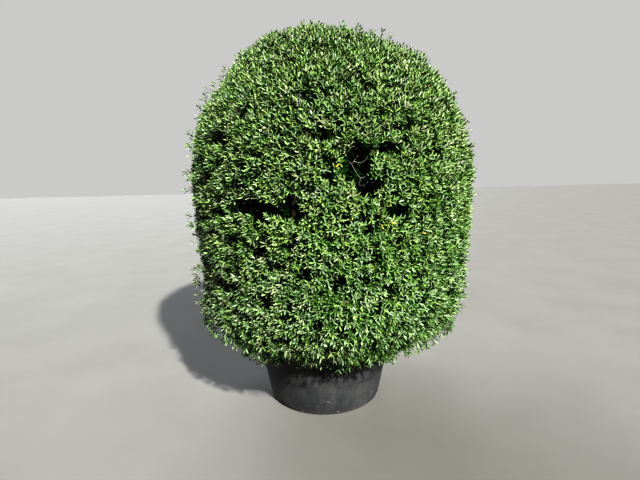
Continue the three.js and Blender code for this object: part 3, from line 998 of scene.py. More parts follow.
def build_tub():
    points = turned(tub_profile()[1:-1], TUB_SIDES)
    angles = round_angles(TUB_SIDES)
    wave = sum(height * np.cos(number * angles + turn) for number, height, turn in TUB_WAVES)
    share = np.clip(points[:, :1, 2] / TUB_HEIGHT, 0, 1)
    points[..., :2] *= (1 + wave * share)[..., None]
    tub = Assembly()
    add_closed(tub, points, [0, 0, 0], [0, 0, TUB_FLOOR])
    piece = tub.piece("tub", [tub_material()], smooth=True)
    mark_sharp(piece, TUB_SHARP_ANGLE)
    settle(piece, "pot", "pot")


def build_soil(dry_leaf_materials):
    """Lumpy soil with crumbs, and a few leaves that have fallen on it"""
    radii = np.linspace(0.01, 1, SOIL_RINGS) * (wall_at(SOIL_TOP) - TUB_WALL - SOIL_GAP)
    top = turned(np.stack([radii, np.full(SOIL_RINGS, SOIL_TOP)], axis=-1), SOIL_SIDES)
    from_wall = radii[-1] - np.hypot(top[..., 0], top[..., 1])
    top[..., 2] += lumps(top, SOIL_RELIEF) * np.clip(from_wall / SOIL_CALM_EDGE, SOIL_CALM_SHARE, 1)
    bottom = TUB_FLOOR + SOIL_GAP
    rim = turned(np.array([[wall_at(bottom) - TUB_WALL - SOIL_GAP, bottom]]), SOIL_SIDES)
    soil = Assembly()
    add_closed(soil, np.concatenate([top, rim]), [0, 0, SOIL_TOP], [0, 0, bottom], inside_out=True)
    add_crumbs(soil, radii[-1])
    add_fallen_leaves(soil, radii[-1])
    settle(soil.piece("soil_surface", [soil_material(), *dry_leaf_materials]), "soil", "soil")


def scattered(count, edge, inner, gap):
    """Places on a ring of the soil between the trunk and the tub's wall"""
    reach = edge - gap
    angle = any_turn(count)
    radius = np.sqrt(rng.uniform((inner / reach) ** 2, 1, count)) * reach
    return polar(radius, angle, SOIL_TOP) + [TRUNK_FOOT_OFFSET, 0, 0]


def add_crumbs(soil, edge):
    """Eight-sided crumbs, each with its corners at random distances"""
    centres = scattered(SOIL_CRUMBS, edge, *CRUMB_RING)
    size = rng.uniform(*CRUMB_SIZES, (SOIL_CRUMBS, 1, 1))
    corners = np.array([[1, 0, 0], [-1, 0, 0], [0, 1, 0], [0, -1, 0], [0, 0, 1], [0, 0, -1]], float)
    points = centres[:, None] + corners * size * rng.uniform(*CRUMB_SHAPES, (SOIL_CRUMBS, 6, 1))
    faces = np.array([[0, 2, 4], [2, 1, 4], [1, 3, 4], [3, 0, 4],
                      [2, 0, 5], [1, 2, 5], [3, 1, 5], [0, 3, 5]])
    first = np.arange(SOIL_CRUMBS)[:, None, None] * 6
    soil.add(points, [(faces + first).reshape(-1, 3)])


def add_fallen_leaves(soil, edge):
    feet = scattered(FALLEN_LEAVES, edge, *FALLEN_RING) + UP * FALLEN_LIFT
    turn = any_turn(FALLEN_LEAVES)
    heading = unit(polar(1, turn, spread(FALLEN_LEAVES, FALLEN_SLOPE)))
    face = unit(UP + spread((FALLEN_LEAVES, 3), FALLEN_TILT))
    length = rng.uniform(*FALLEN_LENGTHS, FALLEN_LEAVES)
    tints = 1 + (rng.random(FALLEN_LEAVES) > FALLEN_FIRST_TINT).astype(int)
    width = length * FALLEN_WIDTH_SHARE
    add_leaves(soil, feet, heading, face, length, width, FALLEN_FOLD, tints)


# Trunk and boughs

def barked(tube, path, grain, layers):
    """Rings moved in and out by the bark's relief, which its grain draws out upward"""
    outward = unit(tube - path[:, None])
    return tube + outward * lumps(tube * [1, 1, grain], layers)[..., None]


def build_trunk(bark):
    """Tapered trunk with a lobed root flare, slightly fluted farther up"""
    foot = np.array([TRUNK_FOOT_OFFSET, 0, SOIL_TOP - TRUNK_SINK], float)
    top = np.array([CROWN_OFFSET, 0, TRUNK_TOP], float)
    rise = UP * (TRUNK_TOP - SOIL_TOP) / 3
    path = bezier((foot, foot + rise, top - rise, top), TRUNK_STEPS)
    along = np.linspace(0, 1, TRUNK_STEPS)[:, None]
    angle = round_angles(TRUNK_SIDES)
    flare = np.exp(-along / TRUNK_FLARE_HEIGHT)
    plain = TRUNK_WAIST_RADIUS + (TRUNK_TOP_RADIUS - TRUNK_WAIST_RADIUS) * along
    lobes = 1 + TRUNK_LOBE_DEPTH * flare * np.cos(TRUNK_LOBES * angle)
    lobes = lobes + TRUNK_FLUTE_DEPTH * np.cos(TRUNK_FLUTES * angle + TRUNK_FLUTE_TURN * along)
    radius = (plain + (TRUNK_FOOT_RADIUS - TRUNK_WAIST_RADIUS) * flare) * lobes
    tube = rings(path[None], np.ones((1, TRUNK_STEPS)), TRUNK_SIDES)[0]
    tube = path[:, None] + (tube - path[:, None]) * radius[..., None]
    tube = barked(tube, path, TRUNK_GRAIN, TRUNK_RELIEF)
    tube[-1] = path[-1] + (tube[-1] - path[-1]) * TRUNK_TOP_ROUND
    trunk = Assembly()
    add_closed(trunk, tube, path[0], path[-1])
    settle(trunk.piece("trunk_bark", [bark], smooth=True), "bark", "trunk")


def stem_of(cell):
    """Foot, root and direction of the stem inside a mass"""
    heading = cell["elevation"] + (90 - cell["elevation"]) * STEM_LIFT
    direction = bearing(cell["azimuth"], heading)
    reach = crown_reach(cell["azimuth"], cell["elevation"])
    depth = CORE_INSET + CORE_THICKNESS * STEM_ROOT_DEPTH
    root = CROWN_CENTRE + bearing(cell["azimuth"], cell["elevation"]) * (reach - depth)
    foot = root - direction * (CORE_THICKNESS * (1 - STEM_ROOT_DEPTH) + STEM_REACH)
    return foot, root, direction


def bough_path(cell):
    """Points from the trunk's axis to the foot of a mass's stem, and radii there"""
    foot, _, direction = stem_of(cell)
    height, radius = BOUGH_FEET[cell["tier"]]
    climb = (height - SOIL_TOP) / (TRUNK_TOP - SOIL_TOP)
    lean = TRUNK_FOOT_OFFSET + (CROWN_OFFSET - TRUNK_FOOT_OFFSET) * climb
    start = np.array([lean, 0, height], float)
    length = np.linalg.norm(foot - start)
    leaving = UP if cell["tier"] == "cap" else bearing(cell["azimuth"], BOUGH_LEAVING_ANGLE)
    bend = length * BOUGH_BEND
    path = bezier((start, start + leaving * bend, foot - direction * bend,
                   foot + direction * BOUGH_OVERLAP), BOUGH_STEPS)
    along = np.linspace(0, 1, BOUGH_STEPS)
    sway = np.stack([lump(path, BOUGH_SWAY_SIZE, seed) for seed in BOUGH_SWAY_SEEDS], axis=-1)
    path = path + np.sin(along * math.pi)[:, None] * BOUGH_SWAY * sway
    radii = radius + (BOUGH_TIP_RADIUS - radius) * along
    return path, radii * (1 + BOUGH_COLLAR * np.exp(-along * length / BOUGH_COLLAR_LENGTH))


def build_boughs(bark, cells):
    boughs = Assembly()
    for index, cell in enumerate(cells):
        path, radii = bough_path(cell)
        layers = [(depth, size, BOUGH_RELIEF_SEED + index + layer)
                  for layer, (depth, size) in enumerate(BOUGH_RELIEF)]
        tube = barked(rings(path[None], radii[None], BOUGH_SIDES)[0], path, BOUGH_GRAIN, layers)
        add_closed(boughs, tube, path[0], path[-1])
    nodes = [f"bough_{cell['name']}" for cell in cells]
    settle(boughs.piece("boughs_bark", [bark], smooth=True), "bark", *nodes)


def nearest_limb(points, cells):
    """The nearest point of a bough, clear of the trunk, to each point"""
    limbs = np.concatenate([bough_path(cell)[0][LIMB_ROOT_STEPS:] for cell in cells])
    return limbs[nearest(points, limbs)]


# Masses of the crown, their twigs' places and the pockets between them

def all_cells():
    """Every mass: its name, tier, width in azimuth, and the azimuth and elevation of its middle"""
    cells = []
    for tier, ring in TIERS.items():
        width = 360 / ring["count"]
        for index in range(ring["count"]):
            name, azimuth, elevation = tier, 0, 90
            if tier != "cap":
                name = f"{tier}_{index + 1}"
                azimuth = ring["turn"] + width * (index + 0.5)
                elevation = (ring["low"] + ring["high"]) / 2
            cells.append({"name": name, "tier": tier, "width": width,
                          "azimuth": azimuth, "elevation": elevation})
    return cells


def knee_places(cell):
    """Where a mass's main twigs bend outward, on the source's rows and columns"""
    ring = TIERS[cell["tier"]]
    row, column = np.meshgrid(np.arange(ring["rows"]), np.arange(ring["columns"]), indexing="ij")
    across = (column + 0.5 + spread(row.shape, KNEE_SCATTER)) / ring["columns"] * 2 - 1
    along = (row + 0.5 + spread(row.shape, KNEE_SCATTER)) / ring["rows"] * 2 - 1
    across, along = across.ravel() * KNEE_REACH, along.ravel() * KNEE_REACH
    if cell["tier"] == "cap":
        outward = np.maximum(np.abs(across), np.abs(along))
        return np.degrees(np.arctan2(along, across)), 90 - (90 - ring["low"]) * outward
    half = (ring["high"] - ring["low"]) / 2
    return cell["azimuth"] + across * cell["width"] / 2, cell["elevation"] + along * half


def clump_places(cell):
    """Azimuths and elevations of a mass's clumps, evenly spaced over its outer face"""
    ring = TIERS[cell["tier"]]
    low, high = np.interp([ring["low"], ring["high"]], TABLE_ELEVATION, TABLE_LENGTH)
    rows = round((high - low) / CLUMP_SPACING)
    azimuths, elevations = [], []
    for row in range(rows):
        length = low + (high - low) * (row + 0.5) / rows
        elevation = np.interp(length, TABLE_LENGTH, TABLE_ELEVATION)
        flat = np.interp(elevation, TABLE_ELEVATION, TABLE_FLAT)
        columns = max(1, round(math.radians(cell["width"]) * flat / CLUMP_SPACING))
        column = np.arange(columns) + 0.5 + spread(columns, CLUMP_SCATTER)
        column = column + CLUMP_STAGGER * (-1) ** row
        azimuths.append(cell["azimuth"] + (column / columns - 0.5) * cell["width"])
        elevations.append(elevation + spread(columns, CLUMP_RISE_SCATTER))
    return np.concatenate(azimuths), np.concatenate(elevations)


def draw_pockets(count, lowest, widths, heights, depths):
    """Pockets at random, evenly over the crown above a lowest sine of elevation"""
    places = random_bearings(count, lowest, POCKET_HIGHEST)
    return np.stack([*places, *(rng.uniform(*sizes, count) for sizes in (widths, heights, depths))],
                    axis=-1)


def pocket_table():
    """Every hollow and pocket: azimuth, elevation, half width, half height and depth"""
    named = [(*pocket, POCKET_DEPTH) for pocket in POCKETS]
    tries = draw_pockets(LARGE_POCKET_TRIES, *LARGE_POCKET_FORM)
    lowest, highest = SHOWN_ELEVATIONS
    shown = np.abs(tries[:, 0] - SHOWN_AZIMUTH) < SHOWN_HALF_TURN
    shown &= (tries[:, 1] > lowest) & (tries[:, 1] < highest)
    small = draw_pockets(SMALL_POCKETS, *SMALL_POCKET_FORM)
    table = np.array([*HOLLOWS, *named, *tries[~shown][:LARGE_POCKETS], *small])
    table[:, 2:4] += POCKET_FRINGE
    return table


def pocket_reach(points, pocket):
    """How far from a pocket's middle each point is, as a share of its size"""
    azimuth, elevation, width, height = pocket[:4]
    centre, normal, level, rising = crown_place(azimuth, elevation)
    arm = points - centre
    reach = np.hypot(arm @ level / width, arm @ rising / height)
    near = reach < 2
    reach[near] += POCKET_RAGGEDNESS * lump(points[near], POCKET_RAG_SIZE, 4)
    return np.where(arm @ normal < -POCKET_SIGHT, 9, np.maximum(reach, 0))


def clear_hollows(points, azimuth, elevation):
    """Moves clumps that stand in a hollow out to its edge"""
    for hollow in HOLLOWS:
        reach = pocket_reach(points, hollow)
        inside = reach < 1
        grow = HOLLOW_CLEARANCE / np.maximum(reach[inside], 0.2)
        azimuth[inside] = hollow[0] + (azimuth[inside] - hollow[0]) * grow
        elevation[inside] = hollow[1] + (elevation[inside] - hollow[1]) * grow
    return azimuth, elevation


# Clumps and shoots

def outline_trim(azimuth, elevation):
    """How far shoots stop short of the outline, so that the tips of their leaves end on it"""
    left = np.clip(-bearing(azimuth, 0)[..., 0], 0, 1)
    return TRIM + on_curve(TRIM_BELOW, elevation) + TRIM_LEFT * left


def outline_bulge(normal):
    """How far the clipped outline stands out or in, by where it shows round the picture"""
    right, forward = unit(np.array(CAMERA_RIGHT)), unit(np.array(CAMERA_FORWARD))
    turn = np.degrees(np.arctan2(normal @ np.cross(right, forward), normal @ right)) % 360
    angles, heights = np.array(OUTLINE_BULGES, float).T
    edge = 1 - (normal @ forward) ** 2
    return np.interp(turn, angles, heights, period=360) * edge**2


def grow_clumps(cells):
    """All clumps of the crown: arrays of their masses, places, axes, swell and inner ends"""
    places = [clump_places(cell) for cell in cells]
    azimuth, elevation = (np.concatenate(part) for part in zip(*places))
    owner = np.repeat(np.arange(len(cells)), [len(place[0]) for place in places])
    surface = crown_point(azimuth, elevation)
    azimuth, elevation = clear_hollows(surface, azimuth, elevation)
    surface = crown_point(azimuth, elevation)
    normal, level, rising = surface_axes(azimuth, elevation)
    count = len(owner)
    swell = lumps(surface, CLUMP_SWELL) + spread(count, CLUMP_SWELL_SCATTER)
    swell = swell - outline_trim(azimuth, elevation) + outline_bulge(normal)
    depth = CLUMP_INSET + spread(count, CLUMP_INSET_SCATTER) - swell
    inner = surface - normal * depth[:, None]
    inner = inner - rising * on_curve(SHOOT_LIFTS, elevation)[:, None]
    inner = inner + level * spread((count, 1), CLUMP_SHIFT)
    return {"owner": owner, "surface": surface, "normal": normal, "level": level,
            "rising": rising, "swell": swell, "inner": inner}


def grow_shoots(clumps, pockets):
    """Shoots of every clump: foot and tip, with pockets left open"""
    shape = (len(clumps["owner"]), SHOOTS_PER_CLUMP)
    order = np.arange(SHOOTS_PER_CLUMP)
    outward = np.sqrt((order + 0.5) / SHOOTS_PER_CLUMP)[None]
    angle = order[None] * GOLDEN_ANGLE + any_turn((shape[0], 1))
    radius = outward * SHOOT_DISC + spread(shape, SHOOT_DISC_SCATTER)
    level, rising, normal = (clumps[axis][:, None] for axis in ("level", "rising", "normal"))
    aside = around(level, rising, angle, radius)
    inset = CLUMP_DOME * outward**2 - clumps["swell"][:, None]
    inset = inset + rng.exponential(SHOOT_SHORTFALL, shape) - SHOOT_OVERSHOOT
    loose = rng.random(shape) < LOOSE_SHARE
    inset = np.where(loose, -rng.uniform(*LOOSE_OVERSHOOT, shape), inset)
    tip = clumps["surface"][:, None] + aside - normal * inset[..., None]
    foot = clumps["inner"][:, None] + aside * SHOOT_FOOT_SHARE
    keep = np.ones(shape, bool)
    for pocket in pockets:
        reach = pocket_reach(tip, pocket)
        inside = reach < 1
        push = pocket[4] * np.sqrt(np.clip(1 - reach**2, 0, 1)) * inside
        tip = tip - normal * push[..., None]
        keep &= ~(inside & (push > POCKET_BARE_DEPTH))
    owner = np.broadcast_to(clumps["owner"][:, None], shape)[keep]
    return {"foot": foot[keep], "tip": tip[keep], "normal": np.broadcast_to(normal, tip.shape)[keep],
            "owner": owner, "shaded": np.zeros(len(owner), bool)}


def hollow_sprays():
    """Feet, tips and directions of the sprays that stand in the hollows"""
    sprays = []
    for hollow, (number, first, last) in zip(HOLLOWS, HOLLOW_SPRAYS):
        azimuth, elevation, width, height, deepest = hollow
        centre, normal, level, rising = crown_place(azimuth, elevation)
        radius, angle = np.sqrt(rng.random(number)), np.radians(rng.uniform(first, last, number))
        aside = around(level, rising, angle, radius * width, radius * height)
        depth = rng.uniform(*HOLLOW_SPRAY_DEPTH, number) * deepest
        tip = centre + aside - normal * depth[:, None]
        foot = tip - normal * HOLLOW_SPRAY_LENGTH - rising * HOLLOW_SPRAY_RISE
        foot = foot + spread(tip.shape, HOLLOW_SPRAY_SCATTER)
        sprays.append((foot, tip, np.broadcast_to(normal, tip.shape)))
    return tuple(np.concatenate(part) for part in zip(*sprays))


def rim_sprays():
    """Feet, tips and directions of the sprays over the tub's rim and at the crown's lower edge"""
    turn = rng.uniform(-180, 180, MORE_RIM_SPRAYS)
    radius = rng.uniform(*MORE_RIM_RADII, MORE_RIM_SPRAYS)
    height = RIM_HEIGHT + (radius - RIM_HEIGHT_RADIUS) * RIM_SLOPE
    height = height - rng.uniform(*MORE_RIM_DROOP, MORE_RIM_SPRAYS)
    table = np.concatenate([np.array(RIM_SPRAYS), np.stack([turn, radius, height], axis=-1)])
    turn, radius, height = table.T
    rim_tip = bearing(turn, 0) * radius[:, None] + UP * height[:, None]
    edge_turn = np.linspace(-180, 180, EDGE_SPRAYS, endpoint=False)
    edge_turn = edge_turn + spread(EDGE_SPRAYS, EDGE_TURN_SCATTER)
    edge_rise = rng.uniform(*EDGE_ELEVATIONS, EDGE_SPRAYS)
    edge_tip = crown_point(edge_turn, edge_rise, EDGE_INSET)
    tip = np.concatenate([rim_tip, edge_tip])
    outward = bearing(np.concatenate([turn, edge_turn]), 0)
    foot = tip + outward * rng.uniform(*RIM_SPRAY_LEAN, (len(tip), 1))
    foot = foot + UP * RIM_SPRAY_RISE + spread(tip.shape, RIM_SPRAY_SCATTER)
    return foot, tip, outward


def single_sprays(cells):
    """Shoots in the hollows, over the tub's rim and at the lower edge, as grow_shoots has them"""
    groups = (hollow_sprays(), rim_sprays())
    foot, tip, face = (np.concatenate(part) for part in zip(*groups))
    turn = np.degrees(np.arctan2(tip[:, 1], tip[:, 0] - CROWN_OFFSET))
    rise = np.degrees(np.arctan2(tip[:, 2] - CROWN_CENTRE_HEIGHT,
                                 np.hypot(tip[:, 0] - CROWN_OFFSET, tip[:, 1])))
    centres = np.array([[cell["azimuth"], cell["elevation"]] for cell in cells])
    apart = np.abs((turn[:, None] - centres[:, 0] + 180) % 360 - 180)
    above = (rise[:, None] - centres[:, 1]) * OWNER_RISE_WEIGHT
    owner = np.argmin(np.hypot(apart, above), axis=1)
    shaded = np.arange(len(tip)) < len(groups[0][0])
    return {"foot": foot, "tip": tip, "normal": face, "owner": owner, "shaded": shaded}


def outside_tub(points):
    """True where a point keeps clear of the tub"""
    limit = wall_at(points[..., 2]) + TUB_RIM_OVERHANG + TUB_CLEARANCE
    beside = np.hypot(points[..., 0], points[..., 1]) < limit
    return ~(beside & (points[..., 2] < TUB_HEIGHT + TUB_CLEARANCE))


# Leaves

def spray_tints(shoots):
    """A leaf colour for each shoot by patches, with painted shade low right and painted sky light low
    down
    """
    shares = np.array([share for _, share in LEAF_TINTS.values()])
    across, _, height = shoots["tip"].T
    patch = lumps(shoots["tip"], TINT_PATCHES)
    # Painted shade: darker tints low on the right
    patch -= PAINTED_SHADE_RIGHT * ramp(height, *DARKER_HEIGHTS) * ramp(across, *DARKER_ACROSS)
    draw = np.clip(rng.random(len(across)) + patch, 0, 0.9999)
    tint = np.searchsorted(np.cumsum(shares / shares.sum()), draw)
    # The draw's finer digits serve as a second draw
    cooler = draw * 40 % 1 < PAINTED_SKY_LIGHT_BELOW * ramp(height, *COOLER_HEIGHTS)
    # Painted sky light and sheen: cooler and paler tints low down
    warm = (tint == TINT["leaf_mid"]) | (tint == TINT["leaf_fresh"])
    tint[cooler & warm] = TINT["leaf_cool"]
    tint[cooler & (tint == TINT["leaf_lime"])] = TINT["leaf_pale"]
    return tint


def turn_leaves(shoots, tint):
    """Yellow and brown leaves at the tips of a few sprays"""
    for azimuth, elevation, name, number in TURNED_LEAVES:
        place = crown_point([azimuth], [elevation], TURNED_INSET)
        tint[nearest(place, shoots["tip"])[0], :number] = TINT[name]
    for shoot in rng.integers(0, len(tint), TURNED_ELSEWHERE):
        turned_tint = TINT[("leaf_yellow", "leaf_russet")[rng.integers(0, 2)]]
        tint[shoot, :rng.integers(1, 3)] = turned_tint


def leaf_tints(shoots, order, tints):
    """A tint for each leaf: paler at some tips, deeper inward for age and painted shade, painted shade
    farthest in
    """
    count = len(tints)
    tint = np.repeat(tints[:, None], LEAVES_PER_SHOOT, axis=1)
    paler = (order < PALER_BEFORE) & (rng.random((count, 1)) < PALER_TIPS) & (tint < TINT["leaf_lime"])
    tint[paler] += 1
    # Deeper tints inward, for age and as painted shade
    between = (tint < TINT["leaf_olive"]) & (tint > TINT["leaf_deep"])
    tint[(order > DEEPER_AFTER) & between] -= 1
    # Painted shade: near-black leaves farthest in on each shoot
    last_lit = SHADED_FROM - (rng.random((count, 1)) < SHADED_EARLIER)
    tint[order > last_lit] = TINT["leaf_shade"]
    # Painted shade: dim leaves on the sprays in the hollows
    tint[shoots["shaded"]] = TINT["leaf_dim"]
    turn_leaves(shoots, tint)
    return tint


def grow_leaves(shoots, tints):
    """Leaves in a spiral round the outer part of every shoot, as add_leaves takes them"""
    count = len(shoots["owner"])
    shape = (count, LEAVES_PER_SHOOT)
    order = np.arange(LEAVES_PER_SHOOT)[None]
    axis = unit(shoots["tip"] - shoots["foot"])
    helper = unit(np.cross(axis, UP + 0.01))
    other, axis = np.cross(axis, helper), axis[:, None]
    turn = order * GOLDEN_ANGLE + any_turn((count, 1)) + spread(shape, LEAF_TURN_SCATTER)
    radial = around(helper[:, None], other[:, None], turn)
    pitch = on_curve(LEAF_PITCHES, order) + spread(shape, LEAF_PITCH_SCATTER)
    pitch = np.radians(pitch)[..., None]
    heading = unit(axis * np.cos(pitch) + radial * np.sin(pitch))
    natural = axis * np.sin(pitch) - radial * np.cos(pitch)
    light = LEAF_UPWARD * UP + LEAF_OUTWARD * shoots["normal"][:, None]
    face = unit(natural + light * rng.uniform(*LEAF_LIGHT_SHARES, (*shape, 1))
                + spread((*shape, 3), LEAF_TILT_SCATTER))
    back = order * LEAF_SPACING * rng.uniform(*LEAF_SPACING_SHARES, (count, 1)) + FIRST_LEAF_BACK
    foot = shoots["tip"][:, None] - axis * back[..., None]
    size = on_curve(LEAF_SIZES, shoots["tip"][:, 2])[:, None]
    length = size * on_curve(LEAF_GROWTH, order) * rng.uniform(*LEAF_LENGTH_SHARES, shape)
    width = length * rng.uniform(*LEAF_WIDTH_SHARES, shape)
    tint = leaf_tints(shoots, order, tints)
    keep = outside_tub(foot) & outside_tub(foot + heading * length[..., None])
    owner = np.broadcast_to(shoots["owner"][:, None], shape)
    fold = rng.uniform(*LEAF_FOLD, shape)
    arrays = (foot, heading, face, length, width, fold, tint, owner)
    return tuple(array[keep] for array in arrays)


def add_inner_leaves(assembly, twigs, number, shortest, longest):
    """Older, broader leaves, coloured near-black as painted shade, along twigs of two lengths"""
    share = rng.uniform(*INNER_LEAF_PLACES, (len(twigs["fine"]), number))
    step = np.minimum(share.astype(int), 1)
    which = np.arange(len(share))[:, None]
    before, after = twigs["fine"][which, step], twigs["fine"][which, step + 1]
    foot = before + (after - before) * (share - step)[..., None]
    normal = twigs["normal"][:, None]
    turn = unit(spread(foot.shape, 1.0))
    heading = unit(turn - normal * (dot(turn, normal) - INNER_LEAF_OUTWARD))
    face = unit(normal + spread(foot.shape, INNER_LEAF_TILT))
    length = rng.uniform(shortest, longest, share.shape)
    keep = outside_tub(foot) & outside_tub(foot + heading * length[..., None])
    foot, heading, face, length = (array[keep] for array in (foot, heading, face, length))
    shade = np.full(len(foot), TINT["leaf_shade"])
    width = length * INNER_LEAF_WIDTH_SHARE
    add_leaves(assembly, foot, heading, face, length, width, INNER_LEAF_FOLD, shade)


def build_leaves(cells, leaves, twigs, materials):
    """One piece of leaves for each mass, with older ones along its twigs"""
    *parts, owner = leaves
    for index, cell in enumerate(cells):
        assembly = Assembly()
        add_leaves(assembly, *(part[owner == index] for part in parts))
        add_inner_leaves(assembly, twigs[index], *INNER_LEAVES)
        piece = assembly.piece(f"leaves_{cell['name']}", materials, smooth=True)
        settle(piece, "foliage", f"foliage_{cell['name']}")


# Twigs

def grow_mass_twigs(cell, clumps, index):
    """Main twigs from a mass's stem to its knees, and twigs from there to its clumps"""
    foot, root, _ = stem_of(cell)
    azimuth, elevation = knee_places(cell)
    outward = facing(azimuth, elevation)
    knees = crown_point(azimuth, elevation, KNEE_INSET + spread(len(azimuth), KNEE_INSET_SCATTER))
    starts = foot + (root - foot) * rng.uniform(*MAIN_TWIG_START, (len(knees), 1))
    middles = (starts + knees) / 2 - outward * MAIN_TWIG_SAG
    middles = middles + spread(knees.shape, MAIN_TWIG_SCATTER)
    mine = clumps["owner"] == index
    inner, normal = clumps["inner"][mine], clumps["normal"][mine]
    knee = nearest(inner, knees)
    share = rng.uniform(*CLUMP_TWIG_START, (len(inner), 1))
    begin = knees[knee] + (middles[knee] - knees[knee]) * share
    bend = (begin + inner) / 2 - normal * CLUMP_TWIG_SAG
    bend = bend + spread(inner.shape, CLUMP_TWIG_SCATTER)
    return {"stem": (foot, root), "main": np.stack([starts, middles, knees], axis=1),
            "main_tips": knees + outward * MAIN_TWIG_TIP,
            "fine": np.stack([begin, bend, inner], axis=1), "normal": normal}


def add_mass_twigs(assembly, twigs):
    """A mass's stem, its main twigs and the twigs of its clumps"""
    foot, root = twigs["stem"]
    stem = np.stack([foot, foot + (root - foot) * STEM_TUBE_SHARE])
    fine_tips = twigs["fine"][:, 2] + twigs["normal"] * CLUMP_TWIG_TIP
    add_tubes(assembly, stem[None], *STEM_FORM, root[None])
    add_tubes(assembly, twigs["main"], *MAIN_TWIG_FORM, twigs["main_tips"])
    add_tubes(assembly, twigs["fine"], *CLUMP_TWIG_FORM, fine_tips)


def build_twigs(cells, twigs, shoots, materials):
    """Stems, main twigs, clump twigs and shoots, one piece for each tier"""
    for tier in TIERS:
        assembly = Assembly()
        for index, cell in enumerate(cells):
            if cell["tier"] == tier:
                add_mass_twigs(assembly, twigs[index])
                mine = shoots["owner"] == index
                add_cones(assembly, shoots["foot"][mine], shoots["tip"][mine], SHOOT_RADIUS, 1)
        settle(assembly.piece(f"twigs_{tier}", materials), "bark")


def build_thicket(cells, carried, materials, bark):
    """Twigs inside the crown, grown from the boughs: to shaded leaves, and to single sprays"""
    turn, rise = random_bearings(THICKET_TWIGS, *THICKET_SINES)
    behind = np.repeat(np.array(HOLLOWS), HOLLOW_TWIGS, axis=0)
    turn = np.concatenate([turn, behind[:, 0] + spread(len(behind), HOLLOW_TWIG_SCATTER)])
    rise = np.concatenate([rise, behind[:, 1] + spread(len(behind), HOLLOW_TWIG_SCATTER)])
    depth = np.concatenate([rng.uniform(*THICKET_INSETS, THICKET_TWIGS),
                            rng.uniform(*HOLLOW_TWIG_INSETS, len(behind))])
    ends = crown_point(turn, rise, depth)
    from_axis = np.hypot(ends[:, 0] - CROWN_OFFSET, ends[:, 1])
    clear = outside_tub(ends) & (from_axis > THICKET_CLEAR_RADIUS)
    ends, normal = ends[clear], facing(turn, rise)[clear]
    starts = nearest_limb(ends, cells)
    bends = (starts + ends) / 2 + spread(ends.shape, THICKET_SCATTER) - UP * THICKET_SAG
    twigs = {"fine": np.stack([starts, bends, ends], axis=1), "normal": normal}
    leaves, wood = Assembly(), Assembly()
    add_inner_leaves(leaves, twigs, *THICKET_LEAVES)
    add_tubes(wood, twigs["fine"], *THICKET_TWIG_FORM, ends + unit(ends - bends) * THICKET_TIP)
    starts = nearest_limb(carried, cells)
    bends = starts + (carried - starts) * CARRIER_BEND
    bends = bends + spread(carried.shape, CARRIER_SCATTER) - UP * CARRIER_SAG
    tips = carried + unit(carried - bends) * CARRIER_TIP
    add_tubes(wood, np.stack([starts, bends, carried], axis=1), *CARRIER_TWIG_FORM, tips)
    settle(leaves.piece("leaves_inner", materials), "foliage")
    settle(wood.piece("twigs_inner", [bark]), "bark")


def rounded_path(points):
    """A path through points, with softened corners and small kinks"""
    share = np.linspace(0, 1, len(points) * BARE_TWIG_STEPS)
    corner = np.linspace(0, 1, len(points))
    path = np.stack([np.interp(share, corner, axis) for axis in points.T], axis=-1)
    path = (path + np.roll(path, 1, axis=0) + np.roll(path, -1, axis=0)) / 3
    path[0], path[-1] = points[0], points[-1]
    path[1:-1] += spread((len(path) - 2, 3), BARE_TWIG_KINK)
    return path, share


def build_bare_twigs(cells, materials):
    """Leafless twigs and a brown stem in the hollows, grown from a bough or from one another"""
    wood = Assembly()
    for number, corners in enumerate((*BARE_TWIGS, BROWN_STEM)):
        points = crown_point(*np.array(corners, float).T)
        stem = corners is BROWN_STEM
        (first, last), sides = BROWN_STEM_FORM if stem else BARE_TWIG_FORM
        if number in GROWN_FROM_BOUGH:
            limb = nearest_limb(points[:1], cells)[0]
            bend = (limb * 2 + points[0] * 3) / 5 - UP * BARE_TWIG_SAG
            points = np.concatenate([[limb, bend], points])
        path, share = rounded_path(points)
        radii = first + (last - first) * share
        tip = path[-1:] + unit(path[-1:] - path[-2:-1]) * BARE_TWIG_TIP
        add_tubes(wood, path[None], radii, sides, tip, int(stem))
    settle(wood.piece("twigs_bare", materials, smooth=True), "bark")


# Stage

def build_floor():
    half = FLOOR_HALF_WIDTH
    floor = Assembly()
    floor.add([[-half, -half, 0], [half, -half, 0], [half, half, 0], [-half, half, 0]],
              [np.array([[0, 1, 2, 3]])])
    floor.piece("stage_floor", [floor_material()])


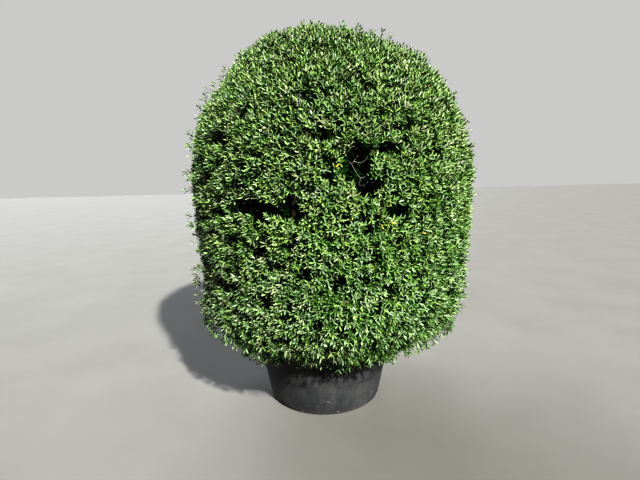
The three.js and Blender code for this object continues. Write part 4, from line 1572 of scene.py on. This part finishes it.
def build_light():
    """The sky's light, a plain backdrop for the camera's rays alone, and the lamps"""
    world = bpy.data.worlds.new("studio")
    world.use_nodes = True
    bpy.context.scene.world = world
    tree = world.node_tree
    soft = tree.nodes["Background"]
    seen = tree.nodes.new("ShaderNodeBackground")
    for node, (colour, strength) in ((soft, SKY), (seen, BACKDROP)):
        node.inputs["Color"].default_value = (*colour, 1)
        node.inputs["Strength"].default_value = strength
    rays = tree.nodes.new("ShaderNodeLightPath")
    pick = tree.nodes.new("ShaderNodeMixShader")
    tree.links.new(rays.outputs["Is Camera Ray"], pick.inputs[0])
    tree.links.new(soft.outputs[0], pick.inputs[1])
    tree.links.new(seen.outputs[0], pick.inputs[2])
    tree.links.new(pick.outputs[0], tree.nodes["World Output"].inputs["Surface"])
    for name, values in LAMPS.items():
        add_sun(name, *values)


def add_sun(name, direction, strength, angle, colour):
    lamp = bpy.data.lights.new(name, "SUN")
    lamp.energy = strength
    lamp.angle = math.radians(angle)
    lamp.color = colour
    made = in_scene(name, lamp)
    made.rotation_mode = "QUATERNION"
    made.rotation_quaternion = Vector(direction).to_track_quat("Z", "Y")


def build_camera():
    """The photo's camera, and the contrast that the picture is shown with"""
    camera = bpy.data.cameras.new("camera")
    camera.sensor_width = SENSOR_WIDTH
    camera.lens = FOCAL_PIXELS / FRAME_WIDTH * SENSOR_WIDTH
    made = in_scene("camera", camera)
    forward, right = Vector(CAMERA_FORWARD).normalized(), Vector(CAMERA_RIGHT).normalized()
    turn = Matrix((right, right.cross(forward), -forward)).transposed()
    made.matrix_world = Matrix.Translation(CAMERA_PLACE) @ turn.to_4x4()
    bpy.context.scene.camera = made
    view = bpy.context.scene.view_settings
    view.view_transform = "Standard"
    view.look = "Very High Contrast"


# Building

def build_crown(cells, barks, foliage):
    """Everything that grows on the boughs, in the order that its random draws follow"""
    pockets = pocket_table()
    clumps = grow_clumps(cells)
    shoots = grow_shoots(clumps, pockets)
    single = single_sprays(cells)
    shoots = {name: np.concatenate([shoots[name], single[name]]) for name in single}
    leaves = grow_leaves(shoots, spray_tints(shoots))
    twigs = [grow_mass_twigs(cell, clumps, index) for index, cell in enumerate(cells)]
    build_leaves(cells, leaves, twigs, foliage)
    build_twigs(cells, twigs, shoots, [barks["twig"], barks["shoot"]])
    build_thicket(cells, single["foot"], foliage, barks["inner_shade"])
    build_bare_twigs(cells, [barks["pale"], barks["shaded_brown"]])


def main():
    cells = all_cells()
    barks = {name: bark_material(name, *values) for name, values in BARKS.items()}
    foliage = leaf_materials()
    build_camera()
    build_light()
    build_floor()
    build_tub()
    build_trunk(barks["grey"])
    build_boughs(barks["grey"], cells)
    build_crown(cells, barks, foliage)
    build_soil([foliage[TINT["leaf_russet"]], foliage[TINT["leaf_dry"]]])


main()
